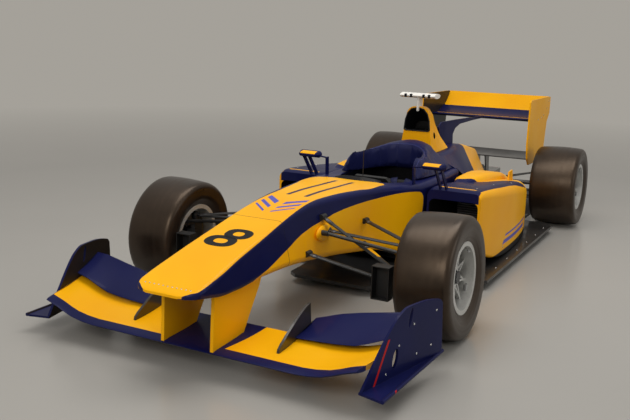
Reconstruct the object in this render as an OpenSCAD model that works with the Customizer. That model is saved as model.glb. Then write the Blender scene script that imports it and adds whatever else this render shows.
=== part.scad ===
/* [Car] */
// Distance between the front and the rear axle
wheelbase = 3020; // [2940:10:3120]
// Nose tip ahead of the front axle
front_overhang = 1180; // [1140:10:1240]
// Tail light behind the rear axle
rear_overhang = 720; // [700:10:780]
// Underside of the floor above the ground
ride_height = 40; // [34:1:55]

/* [Wheels] */
// Distance between the middle planes of the front tyres
front_track = 1576; // [1560:2:1620]
// Distance between the middle planes of the rear tyres
rear_track = 1448; // [1430:2:1480]
// Outside diameter of the tyres
tyre_d = 620; // [610:2:640]
// Width of a front tyre
front_tyre_w = 280; // [260:2:290]
// Width of a rear tyre
rear_tyre_w = 350; // [330:2:360]
// Outside diameter of the rim flanges
rim_d = 360; // [354:2:370]
// Wall of the rim barrel
rim_wall = 7; // [5:0.5:9]
// Lean of the front wheels
front_camber = 2.5; // [0:0.1:3]
// Lean of the rear wheels
rear_camber = 1.2; // [0:0.1:2]
// Crossing pairs of spokes in a rim
spoke_pairs = 10; // [8:1:12]
// Width of one spoke
spoke_w = 11; // [8:0.5:14]
// Diameter of a brake disc
disc_d = 276; // [250:2:284]
// Diameter of the front stub axles
stub_d = 56; // [44:1:60]
// Diameter of the rear driveshafts
driveshaft_d = 34; // [26:1:42]

/* [Monocoque] */
// Joint of nose and monocoque ahead of the front axle
nose_joint = 450; // [420:5:480]
// Rear bulkhead behind the front axle
bulkhead = 1640; // [1620:5:1680]
// Front edge of the cockpit opening behind the front axle
cockpit_front = 700; // [680:5:730]
// Half width of the cockpit opening at the driver's elbows
cockpit_w = 236; // [220:1:250]
// Thickness of the cockpit floor
cockpit_floor = 30; // [20:1:45]
// Height of the headrest padding above the cockpit rim
headrest_h = 176; // [170:2:190]

/* [Bodywork] */
// Thickness of the engine cover skin
cover_t = 12; // [8:1:16]
// Height of the air intake tower above the engine cover
airbox_h = 320; // [300:5:345]
// Diameter of the lifting bar hole through the roll hoop
lift_hole_d = 46; // [36:1:52]
// Front lip of the sidepods behind the front axle
sidepod_front = 950; // [930:5:980]
// Wall of the sidepod inlets
inlet_wall = 14; // [10:1:20]
// Depth of the sidepod inlet ducts
inlet_depth = 420; // [350:10:480]
// Thickness of the floor
floor_t = 20; // [16:1:28]
// Half width of the floor
floor_w = 780; // [740:5:800]
// Thickness of the plank under the floor
plank_t = 10; // [8:1:14]

/* [Wings] */
// Inner face of the front wing endplates from the middle, at the wing's nose
endplate_y = 812; // [806:1:820]
// Splay of the front wing endplates
endplate_splay = 12; // [10:0.5:13]
// Thickness of the wing endplates
endplate_t = 12; // [8:1:14]
// Chord of the front main plane
front_chord = 330; // [310:5:350]
// Middle planes of the nose pylons from the middle
pylon_y = 130; // [120:1:134]
// Thickness of the nose pylons
pylon_t = 16; // [10:1:20]
// Gap between the rear wing endplates and the rear tyres
rear_plate_gap = 87; // [75:1:110]
// Chord of the rear main plane
rear_chord = 280; // [250:5:285]
// Chord of the rear flap
flap_chord = 205; // [190:5:210]

/* [Suspension] */
// Kingpin inside the middle plane of the front tyre
kingpin_in = 108; // [98:1:112]
// Length of the steering arms
steer_arm = 80; // [70:1:84]
// Diameter of the kingpin ends
kingpin_d = 22; // [18:1:26]
// Chord of the suspension legs
leg_chord = 34; // [26:1:38]
// Thickness of the suspension legs
leg_t = 13; // [10:1:16]
// Diameter of the inboard bushes
bush_d = 30; // [26:1:34]
// Diameter of the steering rack bar
rack_d = 28; // [22:1:32]
// Width of the steering wheel
steering_wheel_w = 266; // [240:2:280]

/* [Hidden] */
$fn = 64;

// Clearance between pieces of one body, and between a pin and its bore
fit = 0.3;
pin_fit = 0.05;

car_length = front_overhang + wheelbase + rear_overhang;
front_x = car_length / 2 - front_overhang;
rear_x = front_x - wheelbase;
deck = ride_height + floor_t;
tail_x = rear_x - rear_overhang;
bulkhead_x = front_x - bulkhead;
kingpin_y = front_track / 2 - kingpin_in;
rear_endplate_y = rear_track / 2 - rear_tyre_w / 2 - rear_plate_gap - endplate_t;

// Values shared by lofts
corner_steps = 4;
tyre_r = tyre_d / 2;
crown_r = 1500;

function mix(a, b, t) = a + (b - a) * t;
function unit(v) = v / norm(v);

// Smooth rows between the rows of a table whose first column is the place, with no overshoot
function rise(rows, i, c) = (rows[i + 1][c] - rows[i][c]) / (rows[i + 1][0] - rows[i][0]);
function slope(rows, i, c) =
    i == 0 ? rise(rows, 0, c)
    : i == len(rows) - 1 ? rise(rows, i - 1, c)
    : let (a = rise(rows, i - 1, c), b = rise(rows, i, c)) a * b <= 0 ? 0 : 2 * a * b / (a + b);
function cubic(rows, i, t, c) =
    let (h = rows[i + 1][0] - rows[i][0], m = slope(rows, i, c) * h, n = slope(rows, i + 1, c) * h)
    (2 * t^3 - 3 * t^2 + 1) * rows[i][c] + (t^3 - 2 * t^2 + t) * m
    + (3 * t^2 - 2 * t^3) * rows[i + 1][c] + (t^3 - t^2) * n;
function row_between(rows, i, t) =
    [for (c = [0 : len(rows[0]) - 1]) c == 0 ? mix(rows[i][0], rows[i + 1][0], t) : cubic(rows, i, t, c)];
function smooth(rows, steps) =
    [for (i = [0 : len(rows) - 2]) for (j = [0 : steps - 1]) row_between(rows, i, j / steps),
     rows[len(rows) - 1]];
function row_at(rows, x) =
    let (i = [for (k = [0 : len(rows) - 2]) if (x <= rows[k][0] && x >= rows[k + 1][0]) k][0])
    row_between(rows, i, (x - rows[i][0]) / (rows[i + 1][0] - rows[i][0]));

// Arc of a section, in the plane x
function arc(x, y, z, r, a0, a1) =
    [for (j = [0 : corner_steps])
        let (a = mix(a0, a1, j / corner_steps)) [x, y + r * cos(a), z + r * sin(a)]];

// Rounded section with sloping sides, from its left side round over the top
function ring(x, wt, wb, zb, zt, rt, rb) =
    let (lean = atan2(wb - wt, zt - zb))
    concat(arc(x, wt - rt, zt - rt, rt, lean, 90), arc(x, rt - wt, zt - rt, rt, 90, 180 - lean),
           arc(x, rb - wb, zb + rb, rb, 180 - lean, 270), arc(x, wb - rb, zb + rb, rb, 270, 360 + lean));

// Rounded section between two sides
function box_ring(x, y0, y1, zb, zt, rt, rb) =
    [for (p = ring(x, (y1 - y0) / 2, (y1 - y0) / 2, zb, zt, rt, rb)) p + [0, (y0 + y1) / 2, 0]];

// Solid through sections that run round against the clock as seen from the first
module loft(rings) {
    n = len(rings[0]);
    last = (len(rings) - 1) * n;
    polyhedron(
        points = [for (r = rings) each r],
        faces = [
            [for (j = [n - 1 : -1 : 0]) j],
            for (i = [0 : len(rings) - 2]) for (j = [0 : n - 1])
                let (a = i * n + j, b = i * n + (j + 1) % n)
                each [[a, b, b + n], [a, b + n, a + n]],
            [for (j = [0 : n - 1]) last + j]
        ],
        convexity = 8);
}

// Shell whose sections run over the outside and back along the inside
module shell_loft(rings) {
    n = len(rings[0]);
    last = (len(rings) - 1) * n;
    polyhedron(
        points = [for (r = rings) each r],
        faces = [
            for (j = [0 : n / 2 - 2]) each [[n - 2 - j, j + 1, j], [n - 1 - j, n - 2 - j, j]],
            for (i = [0 : len(rings) - 2]) for (j = [0 : n - 1])
                let (a = i * n + j, b = i * n + (j + 1) % n)
                each [[a, b, b + n], [a, b + n, a + n]],
            for (j = [0 : n / 2 - 2])
                let (a = last + j, b = last + n - 2 - j) each [[a, a + 1, b], [a, b, b + 1]]
        ],
        convexity = 8);
}

// Wing section from its trailing edge over the top to the nose and back below
function foil(chord, thick, camber, steps) =
    let (share = function(t) (1 - cos(180 * t)) / 2,
         half = function(s) thick / 2 * (2.6 * (sqrt(s) - s) + 0.7 * (1 - s)^2 * s + 0.04),
         line = function(s) -4 * camber * s * (1 - s))
    concat([for (i = [steps : -1 : 0]) let (s = share(i / steps)) [-chord * s, line(s) + half(s)]],
           [for (i = [1 : steps]) let (s = share(i / steps)) [-chord * s, line(s) - half(s)]]);

// Wing section placed at its nose, its tail raised by an angle
function foil_ring(x, y, z, chord, thick, camber, angle, steps) =
    [for (p = foil(chord, thick, camber, steps))
        [x + p[0] * cos(angle) + p[1] * sin(angle), y, z - p[0] * sin(angle) + p[1] * cos(angle)]];

module both_sides() {
    children();
    mirror([0, 1, 0]) children();
}

// Frame that runs from p to q with its first axis level with the car's length
function along(p, q) =
    let (d = unit(q - p), u = unit([1, 0, 0] - d * d[0]), v = cross(d, u))
    [[u[0], v[0], d[0], p[0]], [u[1], v[1], d[1], p[1]], [u[2], v[2], d[2], p[2]], [0, 0, 0, 1]];

module rod(p, q, d) {
    multmatrix(along(p, q)) cylinder(h = norm(q - p), d = d);
}

// Leg of flat oval section
module leg(p, q, chord = leg_chord, thick = leg_t) {
    multmatrix(along(p, q)) linear_extrude(norm(q - p))
        polygon([for (a = [0 : 30 : 330]) [chord / 2 * cos(a), thick / 2 * sin(a)]]);
}

// Plate in the plane of the car's length, from y0 with thickness t
module side_plate(y0, t, outline) {
    translate([0, y0 + t, 0]) rotate([90, 0, 0]) linear_extrude(t) polygon(outline);
}

// Nose sections: share of the way to the tip, half widths at top and bottom, bottom and top
// above the deck, radii at top and bottom
nose_rows = [
    [0.000, 149, 187, 297, 520, 26, 34],
    [0.300, 152, 178, 300, 474, 26, 32],
    [0.500, 156, 172, 288, 442, 26, 30],
    [0.680, 161, 168, 289, 410, 26, 28],
    [0.810, 165, 165, 304, 385, 24, 24],
    [0.900, 165, 163, 318, 366, 20, 18],
    [0.950, 154, 153, 323, 354, 14, 12],
    [0.985, 122, 121, 325, 344, 9, 8],
    [1.000, 84, 84, 326, 337, 5, 5]];

// Monocoque sections: place ahead of the front axle, then as in the nose
tub_rows = [
    [nose_joint, 149, 187, 297, 520, 26, 34],
    [300, 150, 191, 287, 546, 26, 34],
    [100, 165, 197, 266, 566, 28, 34],
    [-100, 192, 207, 242, 568, 30, 34],
    [-300, 225, 224, 215, 563, 32, 34],
    [-500, 256, 242, 185, 558, 34, 34],
    [-700, 296, 264, 130, 542, 36, 34],
    [-900, 334, 296, 40, 520, 36, 30],
    [-1050, 344, 312, 0, 520, 34, 20],
    [-1300, 340, 314, 0, 520, 30, 20],
    [-bulkhead, 320, 310, 0, 520, 24, 20]];

function tub_ring(r) = ring(front_x + r[0], r[1], r[2], deck + r[3], deck + r[4], r[5], r[6]);
function tub_side(x, z) =
    let (r = row_at(tub_rows, x)) mix(r[2], r[1], (z - r[3]) / (r[4] - r[3]));
function nose_place(t) = mix(nose_joint, front_overhang, t);

// Pick-up points on the monocoque: place ahead of the front axle, height above the deck
upper_front_pick = [66, 409];
upper_rear_pick = [-316, 394];
lower_front_pick = [270, 330];
lower_rear_pick = [-300, 262];
pushrod_pick = [100, 484];
front_picks = [upper_front_pick, upper_rear_pick, lower_front_pick, lower_rear_pick, pushrod_pick];
bush_proud = 5;
function pick_point(p) = [front_x + p[0], tub_side(p[0], p[1]) + bush_proud, deck + p[1]];
bush_len = leg_chord + 12;

// Front hub height that sets the leaning tyre on the ground
front_hub_z = (tyre_r - crown_r) * cos(front_camber) + crown_r;
rear_hub_z = (tyre_r - crown_r) * cos(rear_camber) + crown_r;
upper_joint_z = front_hub_z + 112;
lower_joint_z = front_hub_z - 104;
eye_t = 30;
eye_d = kingpin_d + 24;
collar_h = 14;

// Steering rack: place ahead of the front axle, height above the deck, bar end from the middle
rack_x = 150;
rack_z = 414;
rack_end = tub_side(rack_x, rack_z) + 60;
arm_z = front_hub_z + 84;

// Steering wheel centre behind the front axle, height above the deck, lean of its column
wheel_back = 905;
wheel_up = 455;
column_lean = 15;
column_d = 32;
wheel_at = [front_x - wheel_back, 0, deck + wheel_up];
dash_t = 34;

// Cockpit opening: place behind the front axle, half width
cockpit_back = bulkhead - 170;
cockpit_rows = [
    [-cockpit_front, 165],
    [-cockpit_front - 120, 190],
    [-cockpit_front - 300, cockpit_w],
    [-cockpit_front - 560, cockpit_w],
    [-cockpit_back + 60, 205],
    [-cockpit_back, 150]];
function cockpit_half(steps) = [for (r = smooth(cockpit_rows, steps)) [front_x + r[0], r[1]]];
function mirrored(half) =
    concat(half, [for (i = [len(half) - 1 : -1 : 0]) [half[i][0], -half[i][1]]]);
rim_z = 520;

module monocoque() {
    color("gold") difference() {
        tub_solid();
        difference() {
            translate([0, 0, deck + cockpit_floor]) linear_extrude(800) polygon(mirrored(cockpit_half(3)));
            dash_hoop();
        }
        leg_tunnel();
        column_bore();
        translate([front_x + rack_x, 0, deck + rack_z]) rotate([90, 0, 0])
            cylinder(h = 2000, d = rack_d + 2 * fit, center = true);
        both_sides() for (p = front_picks)
            translate(pick_point(p)) rotate([0, 90, 0])
                cylinder(h = bush_len + 2 * fit, d = bush_d + 2 * fit, center = true);
    }
}

module tub_solid() {
    loft([for (r = smooth(tub_rows, 2)) tub_ring(r)]);
}

// Panel across the front of the cockpit that carries the steering column
module dash_hoop() {
    translate([front_x - cockpit_front - dash_t, -200, deck + 370]) cube([dash_t + 40, 400, 130]);
}

module leg_tunnel() {
    translate([front_x - 250, 0, deck + 345]) rotate([0, -90, 0]) linear_extrude(cockpit_front - 250 + 1)
        square([160, 250], center = true);
}

module column_bore() {
    translate(wheel_at) rotate([0, -90 + column_lean, 0]) translate([0, 0, -300])
        cylinder(h = 300, d = column_d + 2 * pin_fit);
}

module nose_cone() {
    color("gold") nose_solid();
}

module nose_solid() {
    loft([for (r = [for (i = [len(nose_table) - 1 : -1 : 0]) nose_table[i]])
        ring(front_x + nose_place(r[0]), r[1], r[2], deck + r[3], deck + r[4], r[5], r[6])]);
}
nose_table = smooth(nose_rows, 2);

// Front wing sections: share of the half span, height of the nose above the deck, share of the chord
front_nose_x = front_x + 1016;
wing_rows = [
    [0, 46, 1.00],
    [0.66, 46, 1.00],
    [0.81, 62, 1.00],
    [0.92, 96, 0.98],
    [1, 117, 0.97]];
wing_thick = 30;
wing_camber = 12;
wing_angle = 6;
foil_steps = 9;
function plate_y(x) = endplate_y + (front_nose_x - x) * tan(endplate_splay);
function wing_ring(share, r) =
    [for (p = foil_ring(front_nose_x, 0, deck + r[1], front_chord * r[2], wing_thick, wing_camber,
                        wing_angle, foil_steps))
        [p[0], share * (plate_y(p[0]) - fit), p[2]]];
wing_half = smooth(wing_rows, 2);
wing_span = concat([for (i = [len(wing_half) - 1 : -1 : 1]) [wing_half[i][0], wing_half[i]]],
                   [for (r = wing_half) [-r[0], r]]);

module front_wing_main_plane() {
    color("gold") main_plane_solid();
}

module main_plane_solid() {
    loft([for (s = wing_span) wing_ring(s[0], s[1])]);
}

module nose_pylons() {
    color("gold") both_sides() difference() {
        side_plate(pylon_y - pylon_t / 2, pylon_t, [
            [front_x + 1010, deck + 46],
            [front_x + 1000, deck + 330],
            [front_x + 600, deck + 340],
            [front_x + 640, deck + 255],
            [front_x + 720, deck + 140],
            [front_x + 770, deck + 62]]);
        nose_solid();
        main_plane_solid();
    }
}

// Flap sections: share of the way from the strake to the endplate, nose behind the wing's nose,
// height above the deck, chord, angle
strake_y = 380;
strake_t = 12;
flap_rows = [
    [0, 266, 86, 200, 10],
    [0.12, 267, 89, 202, 15],
    [0.27, 268, 92, 204, 22],
    [0.60, 270, 107, 208, 29],
    [0.86, 270, 157, 206, 21],
    [1, 270, 174, 204, 17]];
function flap_ring(r) =
    [for (p = foil_ring(front_nose_x - r[1], 0, deck + r[2], r[3], 16, 10, r[4], 8))
        [p[0], mix(strake_y + strake_t, plate_y(p[0]) - fit, r[0]), p[2]]];

module front_wing_flaps() {
    color("navy") both_sides() flap_solid();
}

module flap_solid() {
    rows = smooth(flap_rows, 2);
    loft([for (i = [len(rows) - 1 : -1 : 0]) flap_ring(rows[i])]);
}

// Strake outline: place ahead of the front axle, height above the deck
strake_rows = [
    [890, 55],
    [885, 76],
    [840, 106],
    [760, 152],
    [680, 190],
    [640, 204],
    [612, 209]];

module front_wing_strakes() {
    color("dimgray") both_sides() difference() {
        side_plate(strake_y, strake_t, concat(
            [for (r = smooth(strake_rows, 2)) [front_x + r[0], deck + r[1]]],
            [[front_x + 590, deck + 22], [front_x + 650, deck + 40]]));
        main_plane_solid();
    }
}

// Endplate outline from its raked front to its tail: place ahead of the front axle, height above the deck
plate_rows = [
    [996, 26],
    [899, 141],
    [806, 242],
    [750, 285],
    [691, 306],
    [594, 305],
    [450, 282],
    [430, 262]];
plate_tail = 413;
plate_foot = 26;
foot_t = 10;
foot_w = 955;
lip_d = 16;
function plate_point(r) = [(front_x + r[0] - front_nose_x) / cos(endplate_splay), deck + r[1]];

// Oval hole in the plane of an endplate
module plate_hole(x, z, half_w, half_h, lean) {
    p = plate_point([x, z]);
    translate([p[0], endplate_t * 2, p[1]]) rotate([90, 0, 0]) rotate(lean) linear_extrude(endplate_t * 3)
        polygon([for (a = [0 : 20 : 340]) [half_w * cos(a), half_h * sin(a)]]);
}

module front_wing_endplates() {
    front_out = [front_x + 1030, foot_w - 25, deck + plate_foot];
    tail_out = [front_x + 392, foot_w - lip_d / 2, deck + plate_foot];
    color("navy") both_sides() {
        translate([front_nose_x, endplate_y, 0]) rotate([0, 0, -endplate_splay]) difference() {
            side_plate(0, endplate_t, concat([for (r = smooth(plate_rows, 3)) plate_point(r)],
                [plate_point([plate_tail, plate_foot])]));
            plate_hole(775, 104, 19, 42, 12);
            plate_hole(676, 256, 10, 42, 14);
        }
        translate([0, 0, deck + plate_foot - foot_t + 2]) linear_extrude(foot_t) polygon([
            [front_x + 1000, plate_y(front_x + 1000)],
            [front_out[0], front_out[1]],
            [tail_out[0], tail_out[1]],
            [front_x + plate_tail, plate_y(front_x + plate_tail)]]);
        rod(front_out, tail_out, lip_d);
    }
}

// Padding round the driver's head: place behind the front axle, half widths at top and bottom, height
// above the cockpit rim as a share, radius
headrest_front = 1000;
cover_front = bulkhead - 4;
headrest_rows = [
    [-headrest_front, 246, 262, 0.14, 12],
    [-headrest_front - 60, 250, 282, 0.50, 50],
    [-headrest_front - 150, 252, 296, 0.72, 84],
    [-1300, 240, 302, 0.84, 110],
    [-1440, 205, 300, 0.98, 140],
    [-1540, 188, 296, 1.00, 140],
    [-cover_front + 1, 160, 286, 0.98, 124]];

module headrest_padding() {
    rim = deck + rim_z;
    inner = [
        [front_x - headrest_front + 1, 222],
        [front_x - 1200, 204],
        [front_x - 1340, 160],
        [front_x - 1400, 110],
        [front_x - 1430, 50]];
    color("midnightblue") difference() {
        loft([for (r = smooth(headrest_rows, 2))
            ring(front_x + r[0], r[1], r[2], rim + fit, rim + headrest_h * r[3], r[4], 4)]);
        translate([0, 0, rim - 1]) linear_extrude(headrest_h + 100) polygon(mirrored(smooth(inner, 3)));
    }
}

module driver_seat() {
    seat_x = front_x - cockpit_back;
    seat_z = deck + cockpit_floor;
    color("black") side_plate(-140, 280, [
        [seat_x + 560, seat_z],
        [seat_x + 580, seat_z + 130],
        [seat_x + 540, seat_z + 140],
        [seat_x + 400, seat_z + 60],
        [seat_x + 240, seat_z + 60],
        [seat_x + 170, seat_z + 110],
        [seat_x + 60, seat_z + 440],
        [seat_x + 16, seat_z + 440],
        [seat_x + 70, seat_z + 120],
        [seat_x + 110, seat_z]]);
}

// Engine cover sections: share of the way to its tail, half widths at top and bottom, bottom
// and top above the deck, radius at the top
cover_tail = rear_x + 70;
cover_deck = 600;
cover_step = (bulkhead - cover_front + 15) / (front_x - cover_front - cover_tail);
cover_rows = [
    [0.00, 192, 300, 520, cover_deck, 70],
    [cover_step, 192, 300, 520, cover_deck, 70],
    [0.20, 184, 300, 400, cover_deck, 64],
    [0.32, 166, 292, 368, cover_deck, 62],
    [0.515, 122, 262, 338, cover_deck - 4, 62],
    [0.68, 90, 222, 325, 574, 58],
    [0.84, 66, 174, 312, 536, 50],
    [1.00, 44, 126, 305, 494, 36]];
function cover_x(t) = mix(front_x - cover_front, cover_tail, t);
function cover_half(x, wt, wb, zb, zt, rt) =
    let (lean = atan2(wb - wt, zt - zb))
    concat([[x, wb, zb]], arc(x, wt - rt, zt - rt, rt, lean, 90),
           arc(x, rt - wt, zt - rt, rt, 90, 180 - lean), [[x, -wb, zb]]);
function cover_ring(r) =
    let (x = cover_x(r[0]), out = cover_half(x, r[1], r[2], deck + r[3], deck + r[4], r[5]),
         in = cover_half(x, r[1] - cover_t, r[2] - cover_t, deck + r[3], deck + r[4] - cover_t,
                         r[5] - cover_t))
    concat(out, [for (i = [len(in) - 1 : -1 : 0]) in[i]]);

module engine_cover() {
    color("navy") {
        shell_loft([for (r = smooth_cover) cover_ring(r)]);
        cover_fin();
    }
}

// Fin behind the intake tower, with an arm that runs back to the rear wing
fin_t = 10;
module cover_fin() {
    foot = deck + cover_deck;
    difference() {
        side_plate(-fin_t / 2, fin_t, [
            [bulkhead_x - 500, foot - 25],
            [bulkhead_x - 440, foot + 140],
            [bulkhead_x - 500, rear_wing_z + 38],
            [bulkhead_x - 840, rear_wing_z + 32],
            [rear_nose_x + 330, rear_wing_z + 20],
            [rear_nose_x - 20, rear_wing_z + 8],
            [rear_nose_x - 20, rear_wing_z - 8],
            [rear_nose_x + 330, rear_wing_z - 6],
            [bulkhead_x - 940, rear_wing_z - 10],
            [bulkhead_x - 830, rear_wing_z - 34],
            [bulkhead_x - 780, foot + 60],
            [bulkhead_x - 790, foot - 35]]);
        rear_main_solid();
    }
}
smooth_cover = smooth(cover_rows, 2);

// Air intake tower sections: place behind the rear bulkhead, half widths at top and bottom, top
// as a share of the tower's height
airbox_foot = 390;
airbox_rows = [
    [0, 80, 118, 1.00, 58],
    [-60, 80, 119, 1.00, 58],
    [-180, 66, 116, 0.73, 46],
    [-290, 54, 110, 0.48, 34],
    [-airbox_foot, 44, 100, 0.28, 24]];
airbox_z = deck + cover_deck;

// Mouth of the intake: half width to each side, height as a share of the tower's
intake_rows = [
    [-90, 0.518],
    [-80, 0.487],
    [80, 0.487],
    [90, 0.518],
    [84, 0.709],
    [70, 0.847],
    [44, 0.939],
    [16, 0.962],
    [-16, 0.962],
    [-44, 0.939],
    [-70, 0.847],
    [-84, 0.709]];
function intake_ring(x, width, height) =
    [for (r = intake_rows) [x, r[0] * width, airbox_z + airbox_h * mix(intake_rows[1][1], r[1], height)]];

module airbox() {
    color("gold") difference() {
        airbox_solid();
        loft([intake_ring(bulkhead_x + 1, 1, 1), intake_ring(bulkhead_x - 140, 0.7, 0.35)]);
        translate([bulkhead_x - 90, 0, airbox_z + airbox_h * 0.372]) rotate([90, 0, 0])
            cylinder(h = 400, d = lift_hole_d, center = true);
    }
}

module airbox_solid() {
    loft([for (r = smooth(airbox_rows, 2))
        ring(bulkhead_x + r[0], r[1], r[2], airbox_z, airbox_z + airbox_h * r[3], r[4], 4)]);
}

module onboard_camera() {
    pod_x = bulkhead_x - 30;
    pod_z = airbox_z + airbox_h + 74;
    color("white") {
        difference() {
            translate([pod_x, 0, airbox_z + airbox_h - 30]) linear_extrude(pod_z - airbox_z - airbox_h + 30)
                polygon([for (a = [0 : 15 : 345]) [45 * cos(a), 14 * sin(a)]]);
            airbox_solid();
        }
        translate([pod_x, 126, pod_z]) rotate([90, 0, 0]) linear_extrude(252)
            polygon([for (a = [0 : 15 : 345]) [58 * cos(a), 17 * sin(a)]]);
    }
}

// Sidepod sections: place from the lip towards the tail as a share, inner and outer side, bottom
// and top above the deck, radius
pod_tail = rear_x + 500;
pod_fin_x = mix(front_x - sidepod_front, pod_tail, 0.62);
pod_fin_y = 580;
pod_rows = [
    [0.00, 352, 686, 128, 490, 40],
    [0.03, 352, 694, 122, 504, 46],
    [0.12, 352, 704, 70, 500, 58],
    [0.25, 352, 712, 22, 486, 70],
    [0.42, 352, 712, 0, 466, 80],
    [0.60, 340, 700, 0, 436, 84],
    [0.80, 312, 660, 0, 390, 84],
    [0.93, 270, 600, 0, 340, 76],
    [1.00, 246, 540, 0, 290, 60]];
function pod_x(t) = mix(front_x - sidepod_front, pod_tail, t);
function pod_ring(r) = box_ring(pod_x(r[0]), r[1], r[2], deck + r[3], deck + r[4], r[5], 18);
pod_table = smooth(pod_rows, 2);

// Hump on a sidepod's deck: place as in the pod, inner and outer side, top above the deck, radius
hump_rows = [
    [0.24, 390, 470, 478, 20],
    [0.30, 366, 510, 508, 40],
    [0.42, 354, 540, 510, 50],
    [0.60, 342, 545, 486, 50],
    [0.80, 314, 520, 424, 46],
    [0.93, 274, 470, 330, 30]];
hump_foot = 260;
function hump_ring(r) = box_ring(pod_x(r[0]), r[1], r[2], deck + hump_foot, deck + r[3], r[4], 10);

module pod_solid() {
    loft([for (r = pod_table) pod_ring(r)]);
}

module sidepod() {
    duct_x = front_x - sidepod_front;
    difference() {
        union() {
            pod_solid();
            loft([for (r = smooth(hump_rows, 2)) hump_ring(r)]);
            side_plate(pod_fin_y, 10, [
                [pod_fin_x, deck + 400],
                [pod_fin_x - 24, deck + 486],
                [pod_fin_x - 104, deck + 490],
                [pod_fin_x - 130, deck + 400]]);
        }
        loft([
            box_ring(duct_x + 1, pod_rows[0][1] + inlet_wall, pod_rows[0][2] - inlet_wall,
                deck + pod_rows[0][3] + inlet_wall, deck + pod_rows[0][4] - 4 * inlet_wall, 34, 30),
            box_ring(duct_x - inlet_depth, pod_rows[0][1] + 60, pod_rows[0][2] - 60,
                deck + pod_rows[0][3] + 20, deck + pod_rows[0][4] - 60, 34, 30)]);
    }
}

module sidepod_left() {
    color("gold") sidepod();
}

module sidepod_right() {
    color("gold") mirror([0, 1, 0]) sidepod();
}

module radiators() {
    color("dimgray") both_sides()
        translate([front_x - sidepod_front - inlet_depth + fit, 0, 0])
            rotate([90, 0, 90]) linear_extrude(40) polygon([
                [pod_rows[0][1] + 72, deck + 170],
                [pod_rows[0][2] - 72, deck + 170],
                [pod_rows[0][2] - 72, deck + 380],
                [pod_rows[0][1] + 72, deck + 380]]);
}

// Floor outline: tray under the monocoque, then the wide floor, cut in ahead of the rear tyres
tray_front = front_x - 366;
floor_front = front_x - 790;
tyre_front_x = rear_x + tyre_r + 40;
floor_tail = rear_x + 90;
rear_inner_y = rear_track / 2 - rear_tyre_w / 2 - 30;

module floor_plate() {
    translate([0, 0, ride_height]) linear_extrude(floor_t) polygon(mirrored([
        [tray_front, 230],
        [tray_front - 40, 280],
        [floor_front + 20, 300],
        [floor_front - 10, 690],
        [floor_front - 90, floor_w],
        [tyre_front_x + 80, floor_w],
        [tyre_front_x, floor_w - 60],
        [tyre_front_x - 20, rear_inner_y],
        [floor_tail, rear_inner_y]]));
}

module floor() {
    color("black") floor_plate();
}

module plank() {
    color("saddlebrown") translate([0, 0, ride_height - plank_t]) linear_extrude(plank_t) polygon(mirrored([
        [tray_front - 30, 110],
        [tray_front - 80, 150],
        [floor_tail, 150]]));
}

// Diffuser: rising panel with fences below it
diffuser_rise = 150;
diffuser_len = 400;
diffuser_skin = 10;
diffuser_gap = 6;
function diffuser_top(x) = ride_height + diffuser_skin + diffuser_rise * (floor_tail - x) / diffuser_len;
module diffuser() {
    end_x = floor_tail - diffuser_len;
    skin = diffuser_skin;
    color("black") {
        side_plate(-rear_inner_y, 2 * rear_inner_y, [
            [floor_tail, ride_height],
            [floor_tail, ride_height + skin],
            [end_x, ride_height + diffuser_rise + skin],
            [end_x, ride_height + diffuser_rise]]);
        for (y = [-rear_inner_y, -rear_inner_y / 3, rear_inner_y / 3 - 8, rear_inner_y - 8])
            side_plate(y, 8, [
                [floor_tail, ride_height],
                [end_x, ride_height + diffuser_rise + skin / 2],
                [end_x, ride_height]]);
    }
}

// Engine: half widths at the foot, the crankcase, the cylinder heads and the top, and its height
engine_len = bulkhead_x - cover_x(0.49);
engine_foot_w = 180;
engine_w = 210;
engine_head_w = 198;
engine_top_w = 100;
engine_h = 460;

module engine_block() {
    half = [
        [engine_foot_w, 0],
        [engine_w, engine_h * 0.5],
        [engine_head_w, engine_h * 0.7],
        [engine_top_w, engine_h]];
    color("silver") translate([bulkhead_x, 0, deck]) rotate([90, 0, -90]) linear_extrude(engine_len)
        polygon(concat(half, [for (i = [len(half) - 1 : -1 : 0]) [-half[i][0], half[i][1]]]));
}

gearbox_w = 110;
gearbox_front = bulkhead_x - engine_len;
gearbox_tail = rear_x - 260;
gearbox_top = [[gearbox_tail, 250], [rear_x + 250, 290], [gearbox_front, 296]];
rib_places = [370, 300, 130, -190];
rib_t = 6;
rib_proud = 8;
drive_d = 210;
drive_half = 84;

// Pick-up points on the gearbox: place ahead of the rear axle, height above the deck
rear_upper_front = [190, 245];
rear_upper_back = [-120, 225];
rear_lower_front = [210, 96];
rear_lower_back = [-100, 106];
rear_pushrod = [60, 255];
rear_picks = [rear_upper_front, rear_upper_back, rear_lower_front, rear_lower_back, rear_pushrod];
function rear_pick_point(p) = [rear_x + p[0], gearbox_w + bush_proud, deck + p[1]];

module gearbox() {
    color("dimgray") difference() {
        union() {
            side_plate(-gearbox_w, 2 * gearbox_w, [
                [gearbox_front, deck],
                for (i = [2 : -1 : 0]) [gearbox_top[i][0], deck + gearbox_top[i][1]],
                [gearbox_tail, diffuser_top(gearbox_tail) + diffuser_gap],
                [floor_tail - diffuser_gap, deck]]);
            for (p = rib_places) gearbox_rib(rear_x + p, rib_t, 150);
            gearbox_rib(gearbox_front - 14, 14, 0);
            translate([rear_x, 0, rear_hub_z]) rotate([90, 0, 0])
                cylinder(h = 2 * drive_half, d = drive_d, center = true);
        }
        both_sides() for (p = rear_picks)
            translate(rear_pick_point(p)) rotate([0, 90, 0])
                cylinder(h = bush_len + 2 * fit, d = bush_d + 2 * fit, center = true);
        both_sides() rear_wheel_place() translate([0, 0, -rear_track / 2 + 40])
            cylinder(h = 200, d = driveshaft_d + 2 * pin_fit);
    }
}

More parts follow.
